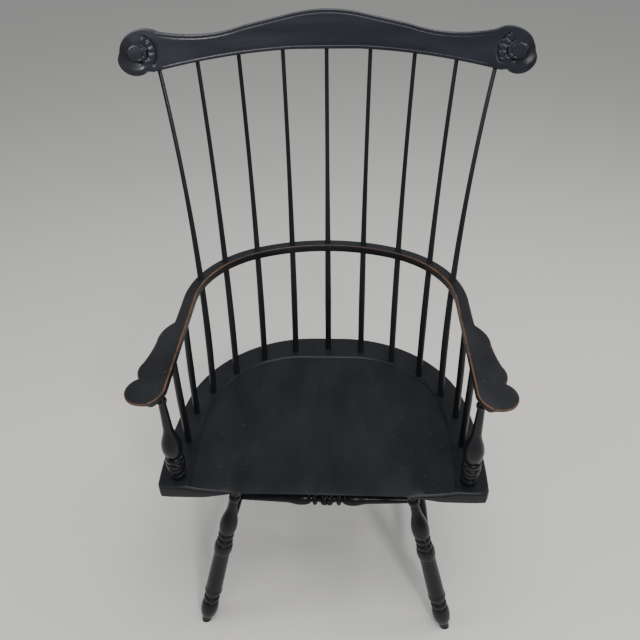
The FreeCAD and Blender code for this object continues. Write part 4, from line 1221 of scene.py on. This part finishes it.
def earDepth(x, up):
    # depth of the carving below the front face, for the right ear
    inward, rise = earSet["centre"][0] - x, up - earSet["centre"][1]
    radius = math.hypot(inward, rise)
    turn = math.degrees(math.atan2(rise, inward))      # 0 towards the middle, 90 up
    around = turn % 360.0
    past = radius - earSet["bossRadius"]
    wall = eased(past / earSet["wall"])
    outside = eased(1 - (past - earSet["wall"]) / earSet["slope"])
    strength = eased((around - 95.0) / 55.0) * eased((318.0 - around) / 40.0)
    depth = earSet["hollow"] * strength * wall * outside
    # over the top of the boss the hollow is only a fine line
    brow = eased((around - 20.0) / 25.0) * eased((150.0 - around) / 30.0)
    depth += earSet["browDepth"] * brow * bump(past - 0.8, 1.0)
    depth -= earSet["bossLift"] * eased(1.0 - radius / earSet["bossRadius"])
    depth += rowDepth(earSet["outerRow"], radius, turn)
    depth += rowDepth(earSet["innerRow"], radius, turn)
    arc = eased((turn + 46.0) / 12.0) * eased((40.0 - turn) / 12.0)
    depth += earSet["arcDepth"] * arc * bump(radius - earSet["arcRadius"], 0.9)
    return depth


def crestDepth(x, up, top, foot):
    x = abs(x)
    ear = eased((x - earSet["from"]) / 5.0)
    inset, width = crestSet["beadInset"], crestSet["beadWidth"]
    bead = bump(top - up - inset, width) + bump(up - foot - inset, width)
    depth = (1 - ear) * crestSet["beadDepth"] * min(bead, 1.0)
    if ear > 0:
        depth += ear * earDepth(x, up) * eased((min(top - up, up - foot) - 0.5) / 4.0)
    return depth


def crestColumns(tip):
    # wide steps along the middle, fine ones on the ears, and finer still round their ends
    columns = [0.0]
    while columns[-1] < crestSet["fineFrom"]:
        columns.append(columns[-1] + crestSet["wideStep"])
    while columns[-1] < tip - 9:
        columns.append(columns[-1] + crestSet["fineStep"])
    last = columns[-1]
    columns += [last + (tip - last) * math.sin(math.pi / 2 * step / 12) for step in range(1, 13)]
    return [-x for x in columns[:0:-1]] + columns


def crestSection(x, top, foot):
    # up the front face, over the top, down the back: (setback, height, how deep it is carved)
    squeeze = min(1.0, max(top - foot, 0.05) / 30.0)
    soft = crestSet["edgeRound"] * squeeze
    front = crestFront(x)

    def back(up):
        thick = mixed(crestSet["footThick"], crestSet["topThick"], up / crestSet["crownUp"])
        return math.sqrt((crestSet["radius"] + thick) ** 2 - x * x) - crestSet["radius"]

    turns = [math.pi / 2 * step / 4 for step in range(5)]
    arc = [(soft * (1 - math.sin(turn)), soft * (1 - math.cos(turn))) for turn in turns]
    near, count = crestSet["nearEdge"], crestSet["levels"]
    low, high = foot + 9.6 * squeeze, top - 9.6 * squeeze
    levels = [foot + inset * squeeze for inset in near]
    levels += [mixed(low, high, step / count) for step in range(count + 1)]
    levels += [top - inset * squeeze for inset in reversed(near)]
    section = [(front + a, foot + b, 0.0) for a, b in arc]
    for up in levels:
        depth = crestDepth(x, up, top, foot)
        # the carving depth also sets how far the crest's paint is darkened with painted shade in the hollows
        section.append((front + depth, up, min(max(depth / 2.2, 0.0), 1.0)))
    section += [(front + b, top - a, 0.0) for a, b in arc]
    section += [(back(top) - a, top - b, 0.0) for a, b in arc]
    for step in range(1, 8):
        up = mixed(top - soft, foot + soft, step / 8)
        section.append((back(up), up, 0.0))
    section += [(back(foot) - b, foot + a, 0.0) for a, b in arc]
    return section


def makeCrest():
    bm = bmesh.new()
    tip = crestLine[crestTip][0] - 0.02
    rings = []
    for x in crestColumns(tip):
        reach = min(abs(x), tip)
        section = crestSection(x, heightOn(crestTopLine, reach), heightOn(crestFootLine, reach))
        places = [Vector((x, setback, up)) for setback, up, deep in section]
        rings.append((places, [deep for setback, up, deep in section]))
    addSkin(bm, rings, "sunk")
    closeEnds(bm)
    bmesh.ops.transform(bm, matrix=crestFrame, verts=bm.verts)
    newPiece("carvedCrest", bm, crestPaint, ["crest_rail"], crease=50)


makeCrest()
print("crest carved")
